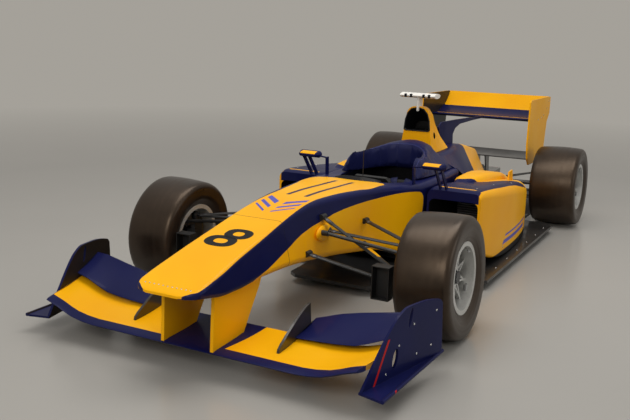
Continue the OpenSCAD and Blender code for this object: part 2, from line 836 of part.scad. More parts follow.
// Rib across the casing, proud of its sides and top
module gearbox_rib(x, t, foot) {
    w = gearbox_w + rib_proud;
    translate([x, -w, deck + foot]) cube([t, 2 * w, lookup(x, gearbox_top) + rib_proud - foot]);
}

light_t = 24;
module crash_structure() {
    tail = tail_x + light_t;
    color("dimgray") {
        intersection() {
            side_plate(-200, 400, [
                [gearbox_tail, deck + 150],
                [gearbox_tail, deck + 245],
                [tail, deck + 236],
                [tail, deck + 166]]);
            translate([0, 0, deck]) linear_extrude(400) polygon(mirrored([
                [gearbox_tail, 90],
                [tail, 52]]));
        }
        both_sides() difference() {
            side_plate(34, 10, [
                [gearbox_tail - fit, deck + 225],
                [gearbox_tail - fit, deck + 265],
                [beam_x - 20, beam_z],
                [beam_x - 130, beam_z + 12],
                [beam_x - 150, deck + 225]]);
            beam_wing_solid();
        }
    }
}

module rain_light() {
    color("red") translate([tail_x, -45, deck + 168]) cube([light_t, 90, 66]);
}

module exhausts() {
    at = [gearbox_front, 160, deck + 200];
    color("silver") both_sides() translate(at) rotate([0, -90, 0]) difference() {
        cylinder(h = 330, d = 68);
        translate([0, 0, 20]) cylinder(h = 330, d = 62);
    }
}

// Rear wing: heights above the ground, places behind the rear axle
rear_nose_x = rear_x - 190;
rear_wing_z = deck + 735;
flap_nose_x = rear_x - 475;
flap_z = deck + 775;
beam_x = rear_x - 190;
beam_z = deck + 405;
beam_chord = 200;

module span_foil(x, z, chord, thick, camber, angle) {
    translate([x, rear_endplate_y, z]) rotate([90, 0, 0]) linear_extrude(2 * rear_endplate_y) rotate(-angle)
        polygon(foil(chord, thick, camber, 9));
}

module rear_wing_main_plane() {
    color("navy") rear_main_solid();
}

module rear_main_solid() {
    span_foil(rear_nose_x, rear_wing_z, rear_chord, 38, 28, 12);
}

module rear_wing_flap() {
    color("gold") span_foil(flap_nose_x, flap_z, flap_chord, 18, 16, 42);
}

module rear_beam_wing() {
    color("navy") beam_wing_solid();
}

module beam_wing_solid() {
    span_foil(beam_x, beam_z, beam_chord, 20, 14, 12);
}

module rear_wing_endplates() {
    color("gold") both_sides() side_plate(rear_endplate_y, endplate_t, [
        [rear_x + 70, deck + 560],
        [rear_x + 60, deck + 900],
        [rear_x + 30, deck + 914],
        [rear_x - 560, deck + 914],
        [rear_x - 640, deck + 910],
        [rear_x - 640, deck + 770],
        [rear_x - 560, deck + 700],
        [rear_x - 500, deck + 385],
        [rear_x - 20, deck + 385],
        [rear_x + 40, deck + 440]]);
}

// Mirrors: housing on two flat posts that stand on the sidepod, and a strut from the cockpit rim
mirror_x = front_x - 850;
mirror_mid = 414;
mirror_z = deck + 642;
post_t = 8;
post_chord = 34;
post_x = front_x - sidepod_front - 45;
post_places = [424, 462];
strut_x = front_x - 870;
strut_y = 292;

// Flat post between two places along the car, from a foot up to the mirror's height
module flat_post(y, foot_x, foot_z, head_x, head_z) {
    side_plate(y - post_t / 2, post_t, [
        [foot_x - post_chord / 2, foot_z],
        [foot_x + post_chord / 2, foot_z],
        [head_x + post_chord / 2, head_z],
        [head_x - post_chord / 2, head_z]]);
}

module mirrors() {
    color("navy") both_sides() {
        translate([mirror_x, mirror_mid, mirror_z]) hull() {
            for (y = [-56, 56]) translate([-20, y, 0]) sphere(d = 44, $fn = 20);
            for (y = [-46, 46]) translate([24, y, 0]) sphere(d = 28, $fn = 20);
        }
        difference() {
            for (y = post_places) flat_post(y, post_x, deck + 480, mirror_x - 6, mirror_z);
            pod_solid();
        }
        difference() {
            flat_post(strut_y, strut_x, deck + 480, mirror_x - 10, mirror_z - 8);
            tub_solid();
        }
        translate([mirror_x - 10, 0, mirror_z])
            rod([0, strut_y - post_t / 2, -14], [0, mirror_mid - 40, -4], 10);
    }
}

// Bush at the inner end of a suspension leg, along the car
module bush() {
    rotate([0, 90, 0]) cylinder(h = bush_len, d = bush_d, center = true);
}

// Eye at the outer end of a wishbone, round the kingpin
module wishbone(outer, picks, eye_z) {
    difference() {
        union() {
            for (p = picks) {
                leg(outer + unit(p - outer) * eye_d / 4, p);
                translate(p) bush();
            }
            translate([outer[0], outer[1], eye_z]) cylinder(h = eye_t, d = eye_d, center = true);
        }
        translate([outer[0], outer[1], eye_z])
            cylinder(h = eye_t + 60, d = kingpin_d + 2 * pin_fit, center = true);
    }
}

upper_outer = [front_x, kingpin_y, upper_joint_z];
lower_outer = [front_x, kingpin_y, lower_joint_z];
pushrod_outer = mix(lower_outer, mix(pick_point(lower_front_pick), pick_point(lower_rear_pick), 0.5), 0.12)
    + [0, 0, leg_t / 2 + 14];

module front_suspension_arms() {
    color("black") both_sides() {
        wishbone(upper_outer, [pick_point(upper_front_pick), pick_point(upper_rear_pick)], upper_joint_z);
        wishbone(lower_outer, [pick_point(lower_front_pick), pick_point(lower_rear_pick)], lower_joint_z);
        leg(pushrod_outer, pick_point(pushrod_pick), 26, 14);
        translate(pick_point(pushrod_pick)) bush();
    }
}

module front_wheel_place() {
    translate([front_x, front_track / 2, front_hub_z]) rotate([-90 + front_camber, 0, 0]) children();
}

module rear_wheel_place() {
    translate([rear_x, rear_track / 2, rear_hub_z]) rotate([-90 + rear_camber, 0, 0]) children();
}

// Places along a wheel's axis from its middle plane, outwards
front_upright_face = -62;
stub_end = 46;
disc_in = -40;
disc_t = 28;

module front_upright() {
    top = upper_joint_z - eye_t / 2 - fit;
    bottom = lower_joint_z + eye_t / 2 + fit;
    pin = eye_t + 8;
    color("dimgray") {
        translate([front_x, kingpin_y, bottom + collar_h])
            linear_extrude(top - bottom - 2 * collar_h) polygon([
            [-34, -18],
            [34, -18],
            [44, 0],
            [34, 34],
            [-34, 34],
            [-44, 0]]);
        translate([front_x, kingpin_y, bottom]) cylinder(h = top - bottom, d = eye_d - 8);
        translate([front_x, kingpin_y, bottom - pin]) cylinder(h = top - bottom + 2 * pin, d = kingpin_d);
        front_wheel_place() translate([0, 0, front_upright_face - 40])
            cylinder(h = stub_end - front_upright_face + 40, d = stub_d);
        front_wheel_place() translate([0, 0, front_upright_face - 30]) cylinder(h = 30, d = stub_d + 40);
        translate([front_x, kingpin_y, arm_z - 14]) linear_extrude(12) polygon([
            [0, -16],
            [steer_arm, -11],
            [steer_arm + 11, 0],
            [steer_arm, 11],
            [0, 16]]);
        brake_duct();
    }
}

// Air scoop for the front brake: mouth ahead of the upright, from the hub, and the duct behind it
scoop_x = 200;
scoop_len = 62;
scoop_in = 150;
scoop_out = 60;
scoop_down = 95;
scoop_h = 165;
scoop_wall = 5;
module brake_duct() {
    translate([front_x, kingpin_y, front_hub_z]) difference() {
        union() {
            translate([scoop_x, -scoop_in, -scoop_down]) cube([scoop_len, scoop_in - scoop_out, scoop_h]);
            translate([0, 0, -46]) linear_extrude(92) polygon([
                [26, -14],
                [26, 24],
                [80, 2],
                [124, -36],
                [scoop_x + 1, -scoop_out],
                [scoop_x + 1, -scoop_in + 24],
                [136, -92]]);
        }
        translate([scoop_x + 8, -scoop_in + scoop_wall, -scoop_down + scoop_wall])
            cube([scoop_len, scoop_in - scoop_out - 2 * scoop_wall, scoop_h - 2 * scoop_wall]);
    }
}

module front_upright_left() {
    front_upright();
}

module front_upright_right() {
    mirror([0, 1, 0]) front_upright();
}

// Tyre section: slightly crowned tread, round shoulder, bulging side wall, bead between the flanges
flange_t = 8;
flange_h = 16;
rim_inset = 20;
shoulder_r = 30;
function crown(z) = tyre_r - crown_r + sqrt(crown_r^2 - z^2);
function tyre_half(w) =
    let (edge = w / 2 - shoulder_r, foot = rim_d / 2 + 1.5, side = w / 2 - rim_inset)
    concat([for (i = [0 : 3]) [crown(edge * i / 3), edge * i / 3]],
           [for (a = [60, 30, 0])
               [crown(edge) - shoulder_r + shoulder_r * sin(a), edge + shoulder_r * cos(a)]],
           [[mix(foot, crown(edge) - shoulder_r, 0.45), w / 2 - 3], [foot, side - 2],
            [foot, side - flange_t - fit], [rim_d / 2 - flange_h + fit, side - flange_t - fit - 4]]);

module tyre(w) {
    half = tyre_half(w);
    color("black") rotate_extrude($fn = 96) polygon(concat(
        [for (i = [len(half) - 1 : -1 : 1]) [half[i][0], -half[i][1]]], half));
}

// Rim barrel with flanges, crossing spokes set in from the outer lip, and a centre lock nut
hub_d = 116;
function rim_half_w(w) = w / 2 - rim_inset;

module rim(w, spoke_z) {
    side = rim_half_w(w);
    seat = rim_d / 2 - flange_h;
    spoke_t = 18;
    color("silver") {
        rotate_extrude($fn = 96) polygon([
            [seat - rim_wall, -side],
            [rim_d / 2, -side],
            [rim_d / 2, -side + flange_t],
            [seat, -side + flange_t],
            [seat, side - flange_t],
            [rim_d / 2, side - flange_t],
            [rim_d / 2, side],
            [seat - rim_wall, side]]);
        difference() {
            translate([0, 0, spoke_z]) linear_extrude(spoke_t) {
                circle(d = hub_d);
                for (i = [0 : spoke_pairs - 1]) for (lean = [-1, 1])
                    spoke(360 / spoke_pairs * i, lean * 180 / spoke_pairs, seat - rim_wall + 2);
            }
            translate([0, 0, spoke_z - 1]) cylinder(h = spoke_t + 2, d = hub_d - 40);
        }
    }
}

// One straight spoke from the hub to a rim point that is turned by an angle
module spoke(at, turn, r) {
    p = [hub_d / 2 - 4, 0];
    q = [r * cos(turn), r * sin(turn)];
    n = unit([p[1] - q[1], q[0] - p[0]]) * spoke_w / 2;
    rotate(at) polygon([p + n, p - n, q - n, q + n]);
}

// Hub with its brake disc, and the nut that holds the rim
module hub(spoke_z, bore, depth) {
    disc_r = disc_d / 2;
    flange = spoke_z - fit;
    color("dimgray") difference() {
        union() {
            rotate_extrude($fn = 96) polygon([
                [0, disc_in],
                [disc_r, disc_in],
                [disc_r, disc_in + disc_t],
                [hub_d / 2 - 8, disc_in + disc_t],
                [hub_d / 2 - 8, flange],
                [hub_d / 2 - 20 - fit, flange],
                [hub_d / 2 - 20 - fit, spoke_z + 22],
                [0, spoke_z + 22]]);
            translate([0, 0, spoke_z + 22]) cylinder(h = 16, d = 64, $fn = 6);
        }
        translate([0, 0, disc_in - 1]) cylinder(h = depth - disc_in + 1, d = bore);
    }
}

front_spoke_z = 50;
rear_spoke_z = 92;

module tyre_front_left() {
    front_wheel_place() tyre(front_tyre_w);
}

module tyre_front_right() {
    mirror([0, 1, 0]) front_wheel_place() tyre(front_tyre_w);
}

module tyre_rear_left() {
    rear_wheel_place() tyre(rear_tyre_w);
}

module tyre_rear_right() {
    mirror([0, 1, 0]) rear_wheel_place() tyre(rear_tyre_w);
}

module rim_front_left() {
    front_wheel_place() rim(front_tyre_w, front_spoke_z);
}

module rim_front_right() {
    mirror([0, 1, 0]) front_wheel_place() rim(front_tyre_w, front_spoke_z);
}

module rim_rear_left() {
    rear_wheel_place() rim(rear_tyre_w, rear_spoke_z);
}

module rim_rear_right() {
    mirror([0, 1, 0]) rear_wheel_place() rim(rear_tyre_w, rear_spoke_z);
}

module hub_front_left() {
    front_wheel_place() hub(front_spoke_z, stub_d + 2 * pin_fit, stub_end + 4);
}

module hub_front_right() {
    mirror([0, 1, 0]) front_wheel_place() hub(front_spoke_z, stub_d + 2 * pin_fit, stub_end + 4);
}

// Rear axle: hub, disc and driveshaft in one piece that runs in the upright and the gearbox
rear_upright_in = -150;
rear_upright_out = -70;
journal_d = 64;
module axle_rear() {
    color("dimgray") rear_wheel_place() {
        hub(rear_spoke_z, 20, 0);
        translate([0, 0, rear_upright_in - 10]) cylinder(h = disc_in - rear_upright_in + 20, d = journal_d);
        translate([0, 0, -rear_track / 2 + 60]) cylinder(h = rear_track / 2 - 60, d = driveshaft_d);
    }
}

module axle_rear_left() {
    axle_rear();
}

module axle_rear_right() {
    mirror([0, 1, 0]) axle_rear();
}

rear_upper_z = rear_hub_z + 105;
rear_lower_z = rear_hub_z - 105;
rear_joint_y = rear_track / 2 - 120;

module rear_uprights() {
    color("dimgray") both_sides() difference() {
        rear_wheel_place() translate([0, 0, rear_upright_in])
            linear_extrude(rear_upright_out - rear_upright_in) polygon([
                [-62, -40],
                [-40, -88],
                [40, -88],
                [62, -40],
                [62, 40],
                [40, 88],
                [-40, 88],
                [-62, 40]]);
        rear_wheel_place() translate([0, 0, -300]) cylinder(h = 400, d = journal_d + 2 * pin_fit);
    }
}

module rear_suspension_arms() {
    upper = [rear_x, rear_joint_y, rear_upper_z];
    lower = [rear_x, rear_joint_y, rear_lower_z];
    color("black") both_sides() {
        rear_wishbone(upper, [rear_pick_point(rear_upper_front), rear_pick_point(rear_upper_back)]);
        rear_wishbone(lower, [rear_pick_point(rear_lower_front), rear_pick_point(rear_lower_back)]);
        leg(mix(upper, lower, 0.86) + [20, -60, 0], rear_pick_point(rear_pushrod), 26, 14);
        translate(rear_pick_point(rear_pushrod)) bush();
    }
}

module rear_wishbone(outer, picks) {
    for (p = picks) {
        leg(outer, p);
        translate(p) bush();
    }
    translate(outer) cylinder(h = 20, d = 46, center = true);
}

module steering_rack() {
    end = [front_x + rack_x, rack_end, deck + rack_z];
    tip = [front_x + steer_arm, kingpin_y, arm_z + 8];
    color("silver") {
        translate([front_x + rack_x, 0, deck + rack_z]) rotate([90, 0, 0])
            cylinder(h = 2 * rack_end, d = rack_d, center = true);
        both_sides() {
            rod(end - [0, 8, 0], tip, 18);
            translate(tip) cylinder(h = 16, d = 26, center = true);
        }
    }
}

module steering_wheel() {
    w = steering_wheel_w / 2;
    color("black") translate(wheel_at) rotate([0, -90 + column_lean, 0]) {
        translate([0, 0, -6]) linear_extrude(24) rotate(90) difference() {
            polygon([
                [-w, -50],
                [-w + 30, -84],
                [w - 30, -84],
                [w, -50],
                [w, 60],
                [w - 26, 80],
                [-w + 26, 80],
                [-w, 60]]);
            for (s = [-1, 1]) translate([s * (w - 52), 4]) square([36, 84], center = true);
        }
        translate([0, 0, -230]) cylinder(h = 230, d = column_d);
    }
}

monocoque();
nose_cone();
nose_pylons();
front_wing_main_plane();
front_wing_flaps();
front_wing_endplates();
front_wing_strakes();
headrest_padding();
driver_seat();
airbox();
engine_cover();
onboard_camera();
sidepod_left();
sidepod_right();
radiators();
floor();
plank();
diffuser();
engine_block();
gearbox();
crash_structure();
rain_light();
exhausts();
rear_wing_main_plane();
rear_wing_flap();
rear_wing_endplates();
rear_beam_wing();
mirrors();
front_suspension_arms();
rear_suspension_arms();
rear_uprights();
front_upright_left();
front_upright_right();
tyre_front_left();
tyre_front_right();
tyre_rear_left();
tyre_rear_right();
rim_front_left();
rim_front_right();
rim_rear_left();
rim_rear_right();
hub_front_left();
hub_front_right();
axle_rear_left();
axle_rear_right();
steering_rack();
steering_wheel();
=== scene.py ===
import math
import bmesh
import bpy
from mathutils import Matrix, Vector
from mathutils.bvhtree import BVHTree


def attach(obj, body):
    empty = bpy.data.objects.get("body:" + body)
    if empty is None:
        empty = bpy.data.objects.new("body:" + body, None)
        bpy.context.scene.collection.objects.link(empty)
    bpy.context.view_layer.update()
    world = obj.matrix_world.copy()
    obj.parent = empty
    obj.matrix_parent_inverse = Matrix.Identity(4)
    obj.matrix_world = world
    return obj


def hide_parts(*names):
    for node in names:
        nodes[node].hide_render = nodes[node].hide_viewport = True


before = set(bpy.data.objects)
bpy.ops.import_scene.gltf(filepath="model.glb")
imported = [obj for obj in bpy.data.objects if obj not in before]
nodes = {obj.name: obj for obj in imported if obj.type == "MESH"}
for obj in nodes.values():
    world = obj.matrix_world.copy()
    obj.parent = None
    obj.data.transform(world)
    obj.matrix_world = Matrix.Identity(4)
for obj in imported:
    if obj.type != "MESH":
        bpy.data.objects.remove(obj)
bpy.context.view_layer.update()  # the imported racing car, X forward, metres
scene = bpy.context.scene
print("frame loaded:", len(nodes), "nodes")

colours = {  # linear; a pair is a shade and a near one that it drifts to
    "yellow": ((0.92, 0.452, 0.002), (0.87, 0.392, 0.002)),
    "navy": ((0.0055, 0.0078, 0.064), (0.0042, 0.0058, 0.048)),
    "white": ((0.8, 0.79, 0.76), (0.74, 0.73, 0.7)),
    "violet": (0.085, 0.09, 0.42),
    "black": (0.006, 0.006, 0.007),
}


# Shader helpers

class Wire:  # a socket that adds, multiplies and masks like a number
    def __init__(self, socket):
        self.socket = socket
        self.tree = socket.id_data

    def calc(self, operation, other=0.0, swapped=False):
        node = self.tree.nodes.new("ShaderNodeMath")
        node.operation = operation
        for socket, value in zip(node.inputs, (other, self) if swapped else (self, other)):
            plug(socket, value)
        return Wire(node.outputs[0])

    def __add__(self, other):
        return self.calc("ADD", other)

    def __sub__(self, other):
        return self.calc("SUBTRACT", other)

    def __rsub__(self, other):
        return self.calc("SUBTRACT", other, swapped=True)

    def __mul__(self, other):
        return self.calc("MULTIPLY", other)

    def __or__(self, other):
        return self.calc("MAXIMUM", other)

    def __invert__(self):
        return 1.0 - self

    def __abs__(self):
        return self.calc("ABSOLUTE")

    __radd__, __rmul__, __and__ = __add__, __mul__, __mul__


def plug(socket, value):  # links a wire or sets a constant
    if isinstance(value, Wire):
        value.tree.links.new(value.socket, socket)
    elif socket.type == "RGBA":
        socket.default_value = (*value, 1.0)
    else:
        socket.default_value = value


def wireUp(node, **inputs):
    for name, value in inputs.items():
        plug(node.inputs[name.replace("_", " ")], value)
    return node


def addNode(tree, kind, **inputs):
    return wireUp(tree.nodes.new("ShaderNode" + kind), **inputs)


def coordinate(tree, kind="Object"):
    return Wire(addNode(tree, "TexCoord").outputs[kind])


def partsOf(vector):
    return [Wire(part) for part in addNode(vector.tree, "SeparateXYZ", Vector=vector).outputs]


def place(tree):  # X, Y, Z in the car's frame
    return partsOf(coordinate(tree))


def facing(tree):  # X, Y, Z of the surface normal
    return partsOf(coordinate(tree, "Normal"))


def rescale(value, low, high, toLow=0.0, toHigh=1.0):
    return Wire(addNode(value.tree, "MapRange", Value=value, From_Min=low, From_Max=high,
                        To_Min=toLow, To_Max=toHigh).outputs["Result"])


def spread(noise, toLow=0.0, toHigh=1.0):  # the useful middle of a noise
    return rescale(noise, 0.3, 0.7, toLow, toHigh)


def above(value, edge, soft=0.001):  # 1 where value is over edge
    return rescale(value - edge, -soft, soft)


def below(value, edge, soft=0.001):
    return ~above(value, edge, soft)


def between(value, low, high, soft=0.001):
    return above(value, low, soft) & below(value, high, soft)


def anyBetween(value, spans):
    total = between(value, *spans[0])
    for span in spans[1:]:
        total = total | between(value, *span)
    return total


def waves(value, pitch):
    return (value * pitch).calc("SINE")


def lineThrough(along, rows):  # smooth line through rows of place and value
    places, values = zip(*rows)
    low, high, bottom, top = min(places), max(places), min(values), max(values)
    curve = addNode(along.tree, "FloatCurve", Value=rescale(along, low, high))
    points = curve.mapping.curves[0].points
    shares = sorted(((p - low) / (high - low), (v - bottom) / (top - bottom)) for p, v in rows)
    points[0].location, points[1].location = shares[0], shares[-1]
    for share in shares[1:-1]:
        points.new(*share)
    curve.mapping.update()
    return rescale(Wire(curve.outputs["Value"]), 0.0, 1.0, bottom, top)


def blend(mask, base, over):
    node = mask.tree.nodes.new("ShaderNodeMix")
    node.data_type = "RGBA"
    for index, value in ((0, mask), (6, base), (7, over)):
        plug(node.inputs[index], value)
    return Wire(node.outputs[2])


def noiseOf(where, scale, detail=2.0, roughness=0.5):
    return Wire(addNode(where.tree, "TexNoise", Vector=where, Scale=scale, Detail=detail,
                        Roughness=roughness).outputs["Fac"])


def bumpInto(shader, height, strength, depth, edge=0.0):  # edge softens the highlight on edges
    bump = addNode(height.tree, "Bump", Strength=strength, Distance=depth, Height=height)
    if edge:
        rounded = addNode(height.tree, "Bevel", Radius=edge)
        rounded.samples = 4
        plug(bump.inputs["Normal"], Wire(rounded.outputs[0]))
    plug(shader.inputs["Normal"], Wire(bump.outputs[0]))


def newFinish(name, **sockets):  # material with constants on the shader's own sockets
    material = bpy.data.materials.new(name)
    material.use_nodes = True
    tree = material.node_tree
    return material, tree, wireUp(tree.nodes["Principled BSDF"], **sockets)


# Paint: every painted panel has the same lacquer over its own colour masks

paint = {"roughness": (0.34, 0.44), "coat": 0.08, "coatRoughness": 0.03, "specular": 0.1, "patches": 3.0,
         "peel": 420.0, "peelStrength": 0.05, "peelDepth": 0.0004, "edge": 0.0025,
         "drift": 2.2, "driftSpan": (0.35, 0.65)}


def lacquer(name, colourOf):  # colourOf gives the colour for a tree
    material, tree, shader = newFinish(name, Coat_Weight=paint["coat"], Coat_Roughness=paint["coatRoughness"],
                                       Specular_IOR_Level=paint["specular"])
    where = coordinate(tree)
    wireUp(shader, Base_Color=colourOf(tree),
           Roughness=spread(noiseOf(where, paint["patches"], 3.0), *paint["roughness"]))
    peel = noiseOf(where, paint["peel"], 1.0)
    bumpInto(shader, peel, paint["peelStrength"], paint["peelDepth"], paint["edge"])
    return material


def lively(tree, shades):  # slow drift between two near shades
    return blend(rescale(noiseOf(coordinate(tree), paint["drift"]), *paint["driftSpan"]), *shades)


def plainPaint(name, shades):
    return lacquer(name, lambda tree: lively(tree, shades))


def twoTone(navy):
    return blend(navy, lively(navy.tree, colours["yellow"]), lively(navy.tree, colours["navy"]))


hull = {
    "topEdge": [(0.59, 0.0), (0.6, 0.09), (0.625, 0.16), (0.665, 0.203), (0.72, 0.222), (0.85, 0.222),
                (0.99, 0.19), (1.23, 0.148), (1.4, 0.133), (1.58, 0.135), (1.73, 0.14), (1.95, 0.147),
                (2.1, 0.151), (2.32, 0.158), (2.4, 0.154), (2.435, 0.128), (2.46, 0.09)],
    "lowEdge": [(0.325, 0.3), (0.332, 0.45), (0.36, 0.515), (0.42, 0.542), (0.66, 0.56), (0.945, 0.56),
                (1.2, 0.547), (1.347, 0.528), (1.54, 0.5), (1.74, 0.446), (1.9, 0.4), (2.0, 0.374),
                (2.06, 0.35), (2.46, 0.3)],
    "topFacing": (-0.15, 0.05),
    "joint": (1.7287, 1.7313, 0.0004),
    "cockpitSide": 0.2368, "cockpitFront": 0.6, "cockpitTop": 0.574,
    "bars": [(1.5, 1.544), (1.58, 1.61), (1.645, 1.663)], "barSlant": 0.9, "barSide": (0.02, 0.112),
    "lineSide": (0.042, 0.064), "lineLength": (0.76, 1.34),
}


def hullColour(tree):  # nose and tub: yellow top, navy flanks, yellow belly sides, black inside
    x, y, z = place(tree)
    side = abs(y)
    onTop = (above(lineThrough(x, hull["topEdge"]), side) & above(facing(tree)[2], *hull["topFacing"])
             & above(x, hull["topEdge"][0][0]))
    flank = above(z, lineThrough(x, hull["lowEdge"])) | below(x, hull["lowEdge"][0][0])
    inside = below(side, hull["cockpitSide"]) & below(z, hull["cockpitTop"]) & below(x, hull["cockpitFront"])
    bars = onTop & anyBetween(x + side * hull["barSlant"], hull["bars"]) & between(side, *hull["barSide"])
    lines = onTop & between(side, *hull["lineSide"]) & between(x, *hull["lineLength"])
    body = blend(bars, twoTone(~onTop & flank | lines), colours["violet"])
    return blend(inside | between(x, *hull["joint"]), body, colours["black"])


wing = {"band": 2.236, "middle": 0.163, "slant": 0.18, "slantFrom": 2.23, "topFacing": (0.0, 0.05)}


def mainPlaneColour(tree):  # navy leading edge, middle and underside
    x, y, z = place(tree)
    reach = wing["middle"] + (wing["slantFrom"] - x) * wing["slant"]
    return twoTone(above(x, wing["band"]) | below(abs(y), reach) | below(facing(tree)[2], *wing["topFacing"]))


pod = {
    "hump": [(-1.24, 0.52), (-0.95, 0.655), (-0.62, 0.625), (-0.36, 0.575), (-0.2, 0.535), (-0.12, 0.47),
             (-0.09, 0.36), (-0.08, 0.25)],
    "edge": [(-1.24, 0.5), (-0.9, 0.655), (-0.6, 0.682), (0.0, 0.68), (0.33, 0.668)],
    "topFacing": (0.25, 0.03),
    "lipZ": 0.49, "lipBack": 0.29, "lipSide": 0.674,
    "inner": 0.388, "innerFacing": 0.4,
    "lineX": (0.262, 0.284), "lineSide": (0.42, 0.64),
    "sill": 0.112,
    "ductX": (-0.095, 0.3285), "ductSide": (0.36, 0.676), "ductZ": (0.198, 0.497), "ductMiddle": (0.519, 0.35),
    "ductFacing": 0.002,
    "stripes": [(0.15, 0.176), (0.196, 0.21)], "stripeLength": (-0.62, 0.02), "stripeSlant": 1.1,
    "stripeSide": 0.5,
}


def sidepodColour(tree):  # yellow side with two stripes, navy deck and lip, yellow hump, black duct
    x, y, z = place(tree)
    faceX, faceY, faceZ = facing(tree)
    side = abs(y)
    upward = above(faceZ, *pod["topFacing"])
    deck = (upward & above(lineThrough(x, pod["edge"]), side)
            & (above(side, lineThrough(x, pod["hump"])) | above(x, pod["hump"][-1][0])))
    lip = above(x, pod["lipBack"]) & above(z, pod["lipZ"]) & below(side, pod["lipSide"])
    inner = below(side, pod["inner"]) & below(faceZ, pod["innerFacing"])
    line = upward & between(x, *pod["lineX"]) & between(side, *pod["lineSide"])
    stripes = (anyBetween(z, pod["stripes"]) & above(side, pod["stripeSide"])
               & between(x + z * pod["stripeSlant"], *pod["stripeLength"]))
    middleY, middleZ = pod["ductMiddle"]
    outward = faceY * y.calc("SIGN") * (side - middleY) + faceZ * (z - middleZ)
    duct = (between(x, *pod["ductX"]) & between(side, *pod["ductSide"]) & between(z, *pod["ductZ"])
            & below(outward, pod["ductFacing"]))
    body = blend(stripes, twoTone((deck | lip | inner) & ~line), colours["violet"])
    return blend(duct | below(z, pod["sill"]), body, colours["black"])


cover = {"edge": -1.16, "lean": 0.55, "middle": 0.6, "finHalf": 0.006, "finTop": 0.665}


def engineCoverColour(tree):  # navy with a yellow tail behind a slanted edge, dark fin
    x, y, z = place(tree)
    fin = below(abs(y), cover["finHalf"]) & above(z, cover["finTop"])
    return twoTone(fin | above(x + (z - cover["middle"]) * cover["lean"], cover["edge"]))


tower = {"ductX": (-0.52, -0.361), "ductFoot": 0.8, "ductMiddle": 0.842, "ductFacing": 0.002,
         "holeX": (-0.474, -0.426, 0.0005), "holeZ": (0.755, 0.803, 0.0005), "holeFacing": 0.3}


def towerColour(tree):  # yellow tower, black in its intake and lifting hole
    x, y, z = place(tree)
    faceX, faceY, faceZ = facing(tree)
    outward = faceY * y + faceZ * (z - tower["ductMiddle"])
    duct = between(x, *tower["ductX"]) & below(outward, tower["ductFacing"]) & above(z, tower["ductFoot"])
    hole = below(abs(faceY), tower["holeFacing"]) & between(x, *tower["holeX"]) & between(z, *tower["holeZ"])
    return blend(duct | hole, lively(tree, colours["yellow"]), colours["black"])


bands = {"mirrorFront": 0.424, "mirrorZ": 0.7085, "mirrorSide": (0.36, 0.462),
         "wingX": (-1.998, -1.978), "wingHalf": 0.43, "wingFacing": 0.2}


def mirrorColour(tree):  # navy housing with a yellow band on its brow
    x, y, z = place(tree)
    return twoTone(~(above(x, bands["mirrorFront"]) & above(z, bands["mirrorZ"])
                     & between(abs(y), *bands["mirrorSide"])))


def rearPlaneColour(tree):  # navy with one yellow line along the span
    x, y, z = place(tree)
    return twoTone(~(between(x, *bands["wingX"]) & below(abs(y), bands["wingHalf"])
                     & above(facing(tree)[2], bands["wingFacing"])))


carbon = {"cell": 0.005, "grey": ((0.008, 0.008, 0.009), (0.02, 0.019, 0.019)),
          "brown": ((0.008, 0.008, 0.009), (0.03, 0.02, 0.013)),
          "coatRoughness": 0.08, "patches": 6.0, "glossier": 0.08, "duller": 0.12, "grain": 220.0,
          "bump": (0.08, 0.0006, 0.002)}


def weave(where, shades):  # twill of two shades
    cells = addNode(where.tree, "TexChecker", Vector=where, Scale=1.0 / carbon["cell"])
    return blend(Wire(cells.outputs["Fac"]), *shades)


plate = {"line": (2.205, 2.219), "lean": 0.524, "foot": 0.06, "rise": (0.08, 0.26), "lineFacing": 0.5,
         "innerFacing": (-0.3, 0.05), "lineColour": (0.5, 0.012, 0.01)}


def plateColour(tree, shades, inside, lined):  # paint on the outer face, raw carbon on the inner one
    x, y, z = place(tree)
    outward = facing(tree)[1] * y.calc("SIGN")
    coat = lively(tree, shades)
    if lined:
        line = (between(x + (z - plate["foot"]) * plate["lean"], *plate["line"]) & between(z, *plate["rise"])
                & above(outward, plate["lineFacing"]))
        coat = blend(line, coat, plate["lineColour"])
    return blend(below(outward, *plate["innerFacing"]), coat, weave(coordinate(tree), inside))


# Carbon, rubber, metal and the rest

def carbonFinish(name, shades, roughness=0.32, coat=0.5):
    material, tree, shader = newFinish(name, Coat_Weight=coat, Coat_Roughness=carbon["coatRoughness"])
    where = coordinate(tree)
    wireUp(shader, Base_Color=weave(where, shades), Roughness=spread(
        noiseOf(where, carbon["patches"], 4.0), roughness - carbon["glossier"], roughness + carbon["duller"]))
    bumpInto(shader, noiseOf(where, carbon["grain"]), *carbon["bump"])
    return material


# shades: clean rubber and a browner dusty one, its warm tone partly a painted sheen; glow: warm tint on
# reflections, a painted reflection of the floor and yellow car
rubber = {"shades": ((0.01, 0.0067, 0.0053), (0.03, 0.02, 0.0145)), "specular": 0.55,
          "glow": (1.0, 0.76, 0.56), "roughness": (0.27, 0.42), "scuffs": 46.0, "patches": 5.0,
          "wall": (0.196, 0.222, 0.003), "ridges": 260.0, "ridgeHeight": 0.6, "scuffHeight": 0.35,
          "bump": (0.3, 0.0015)}


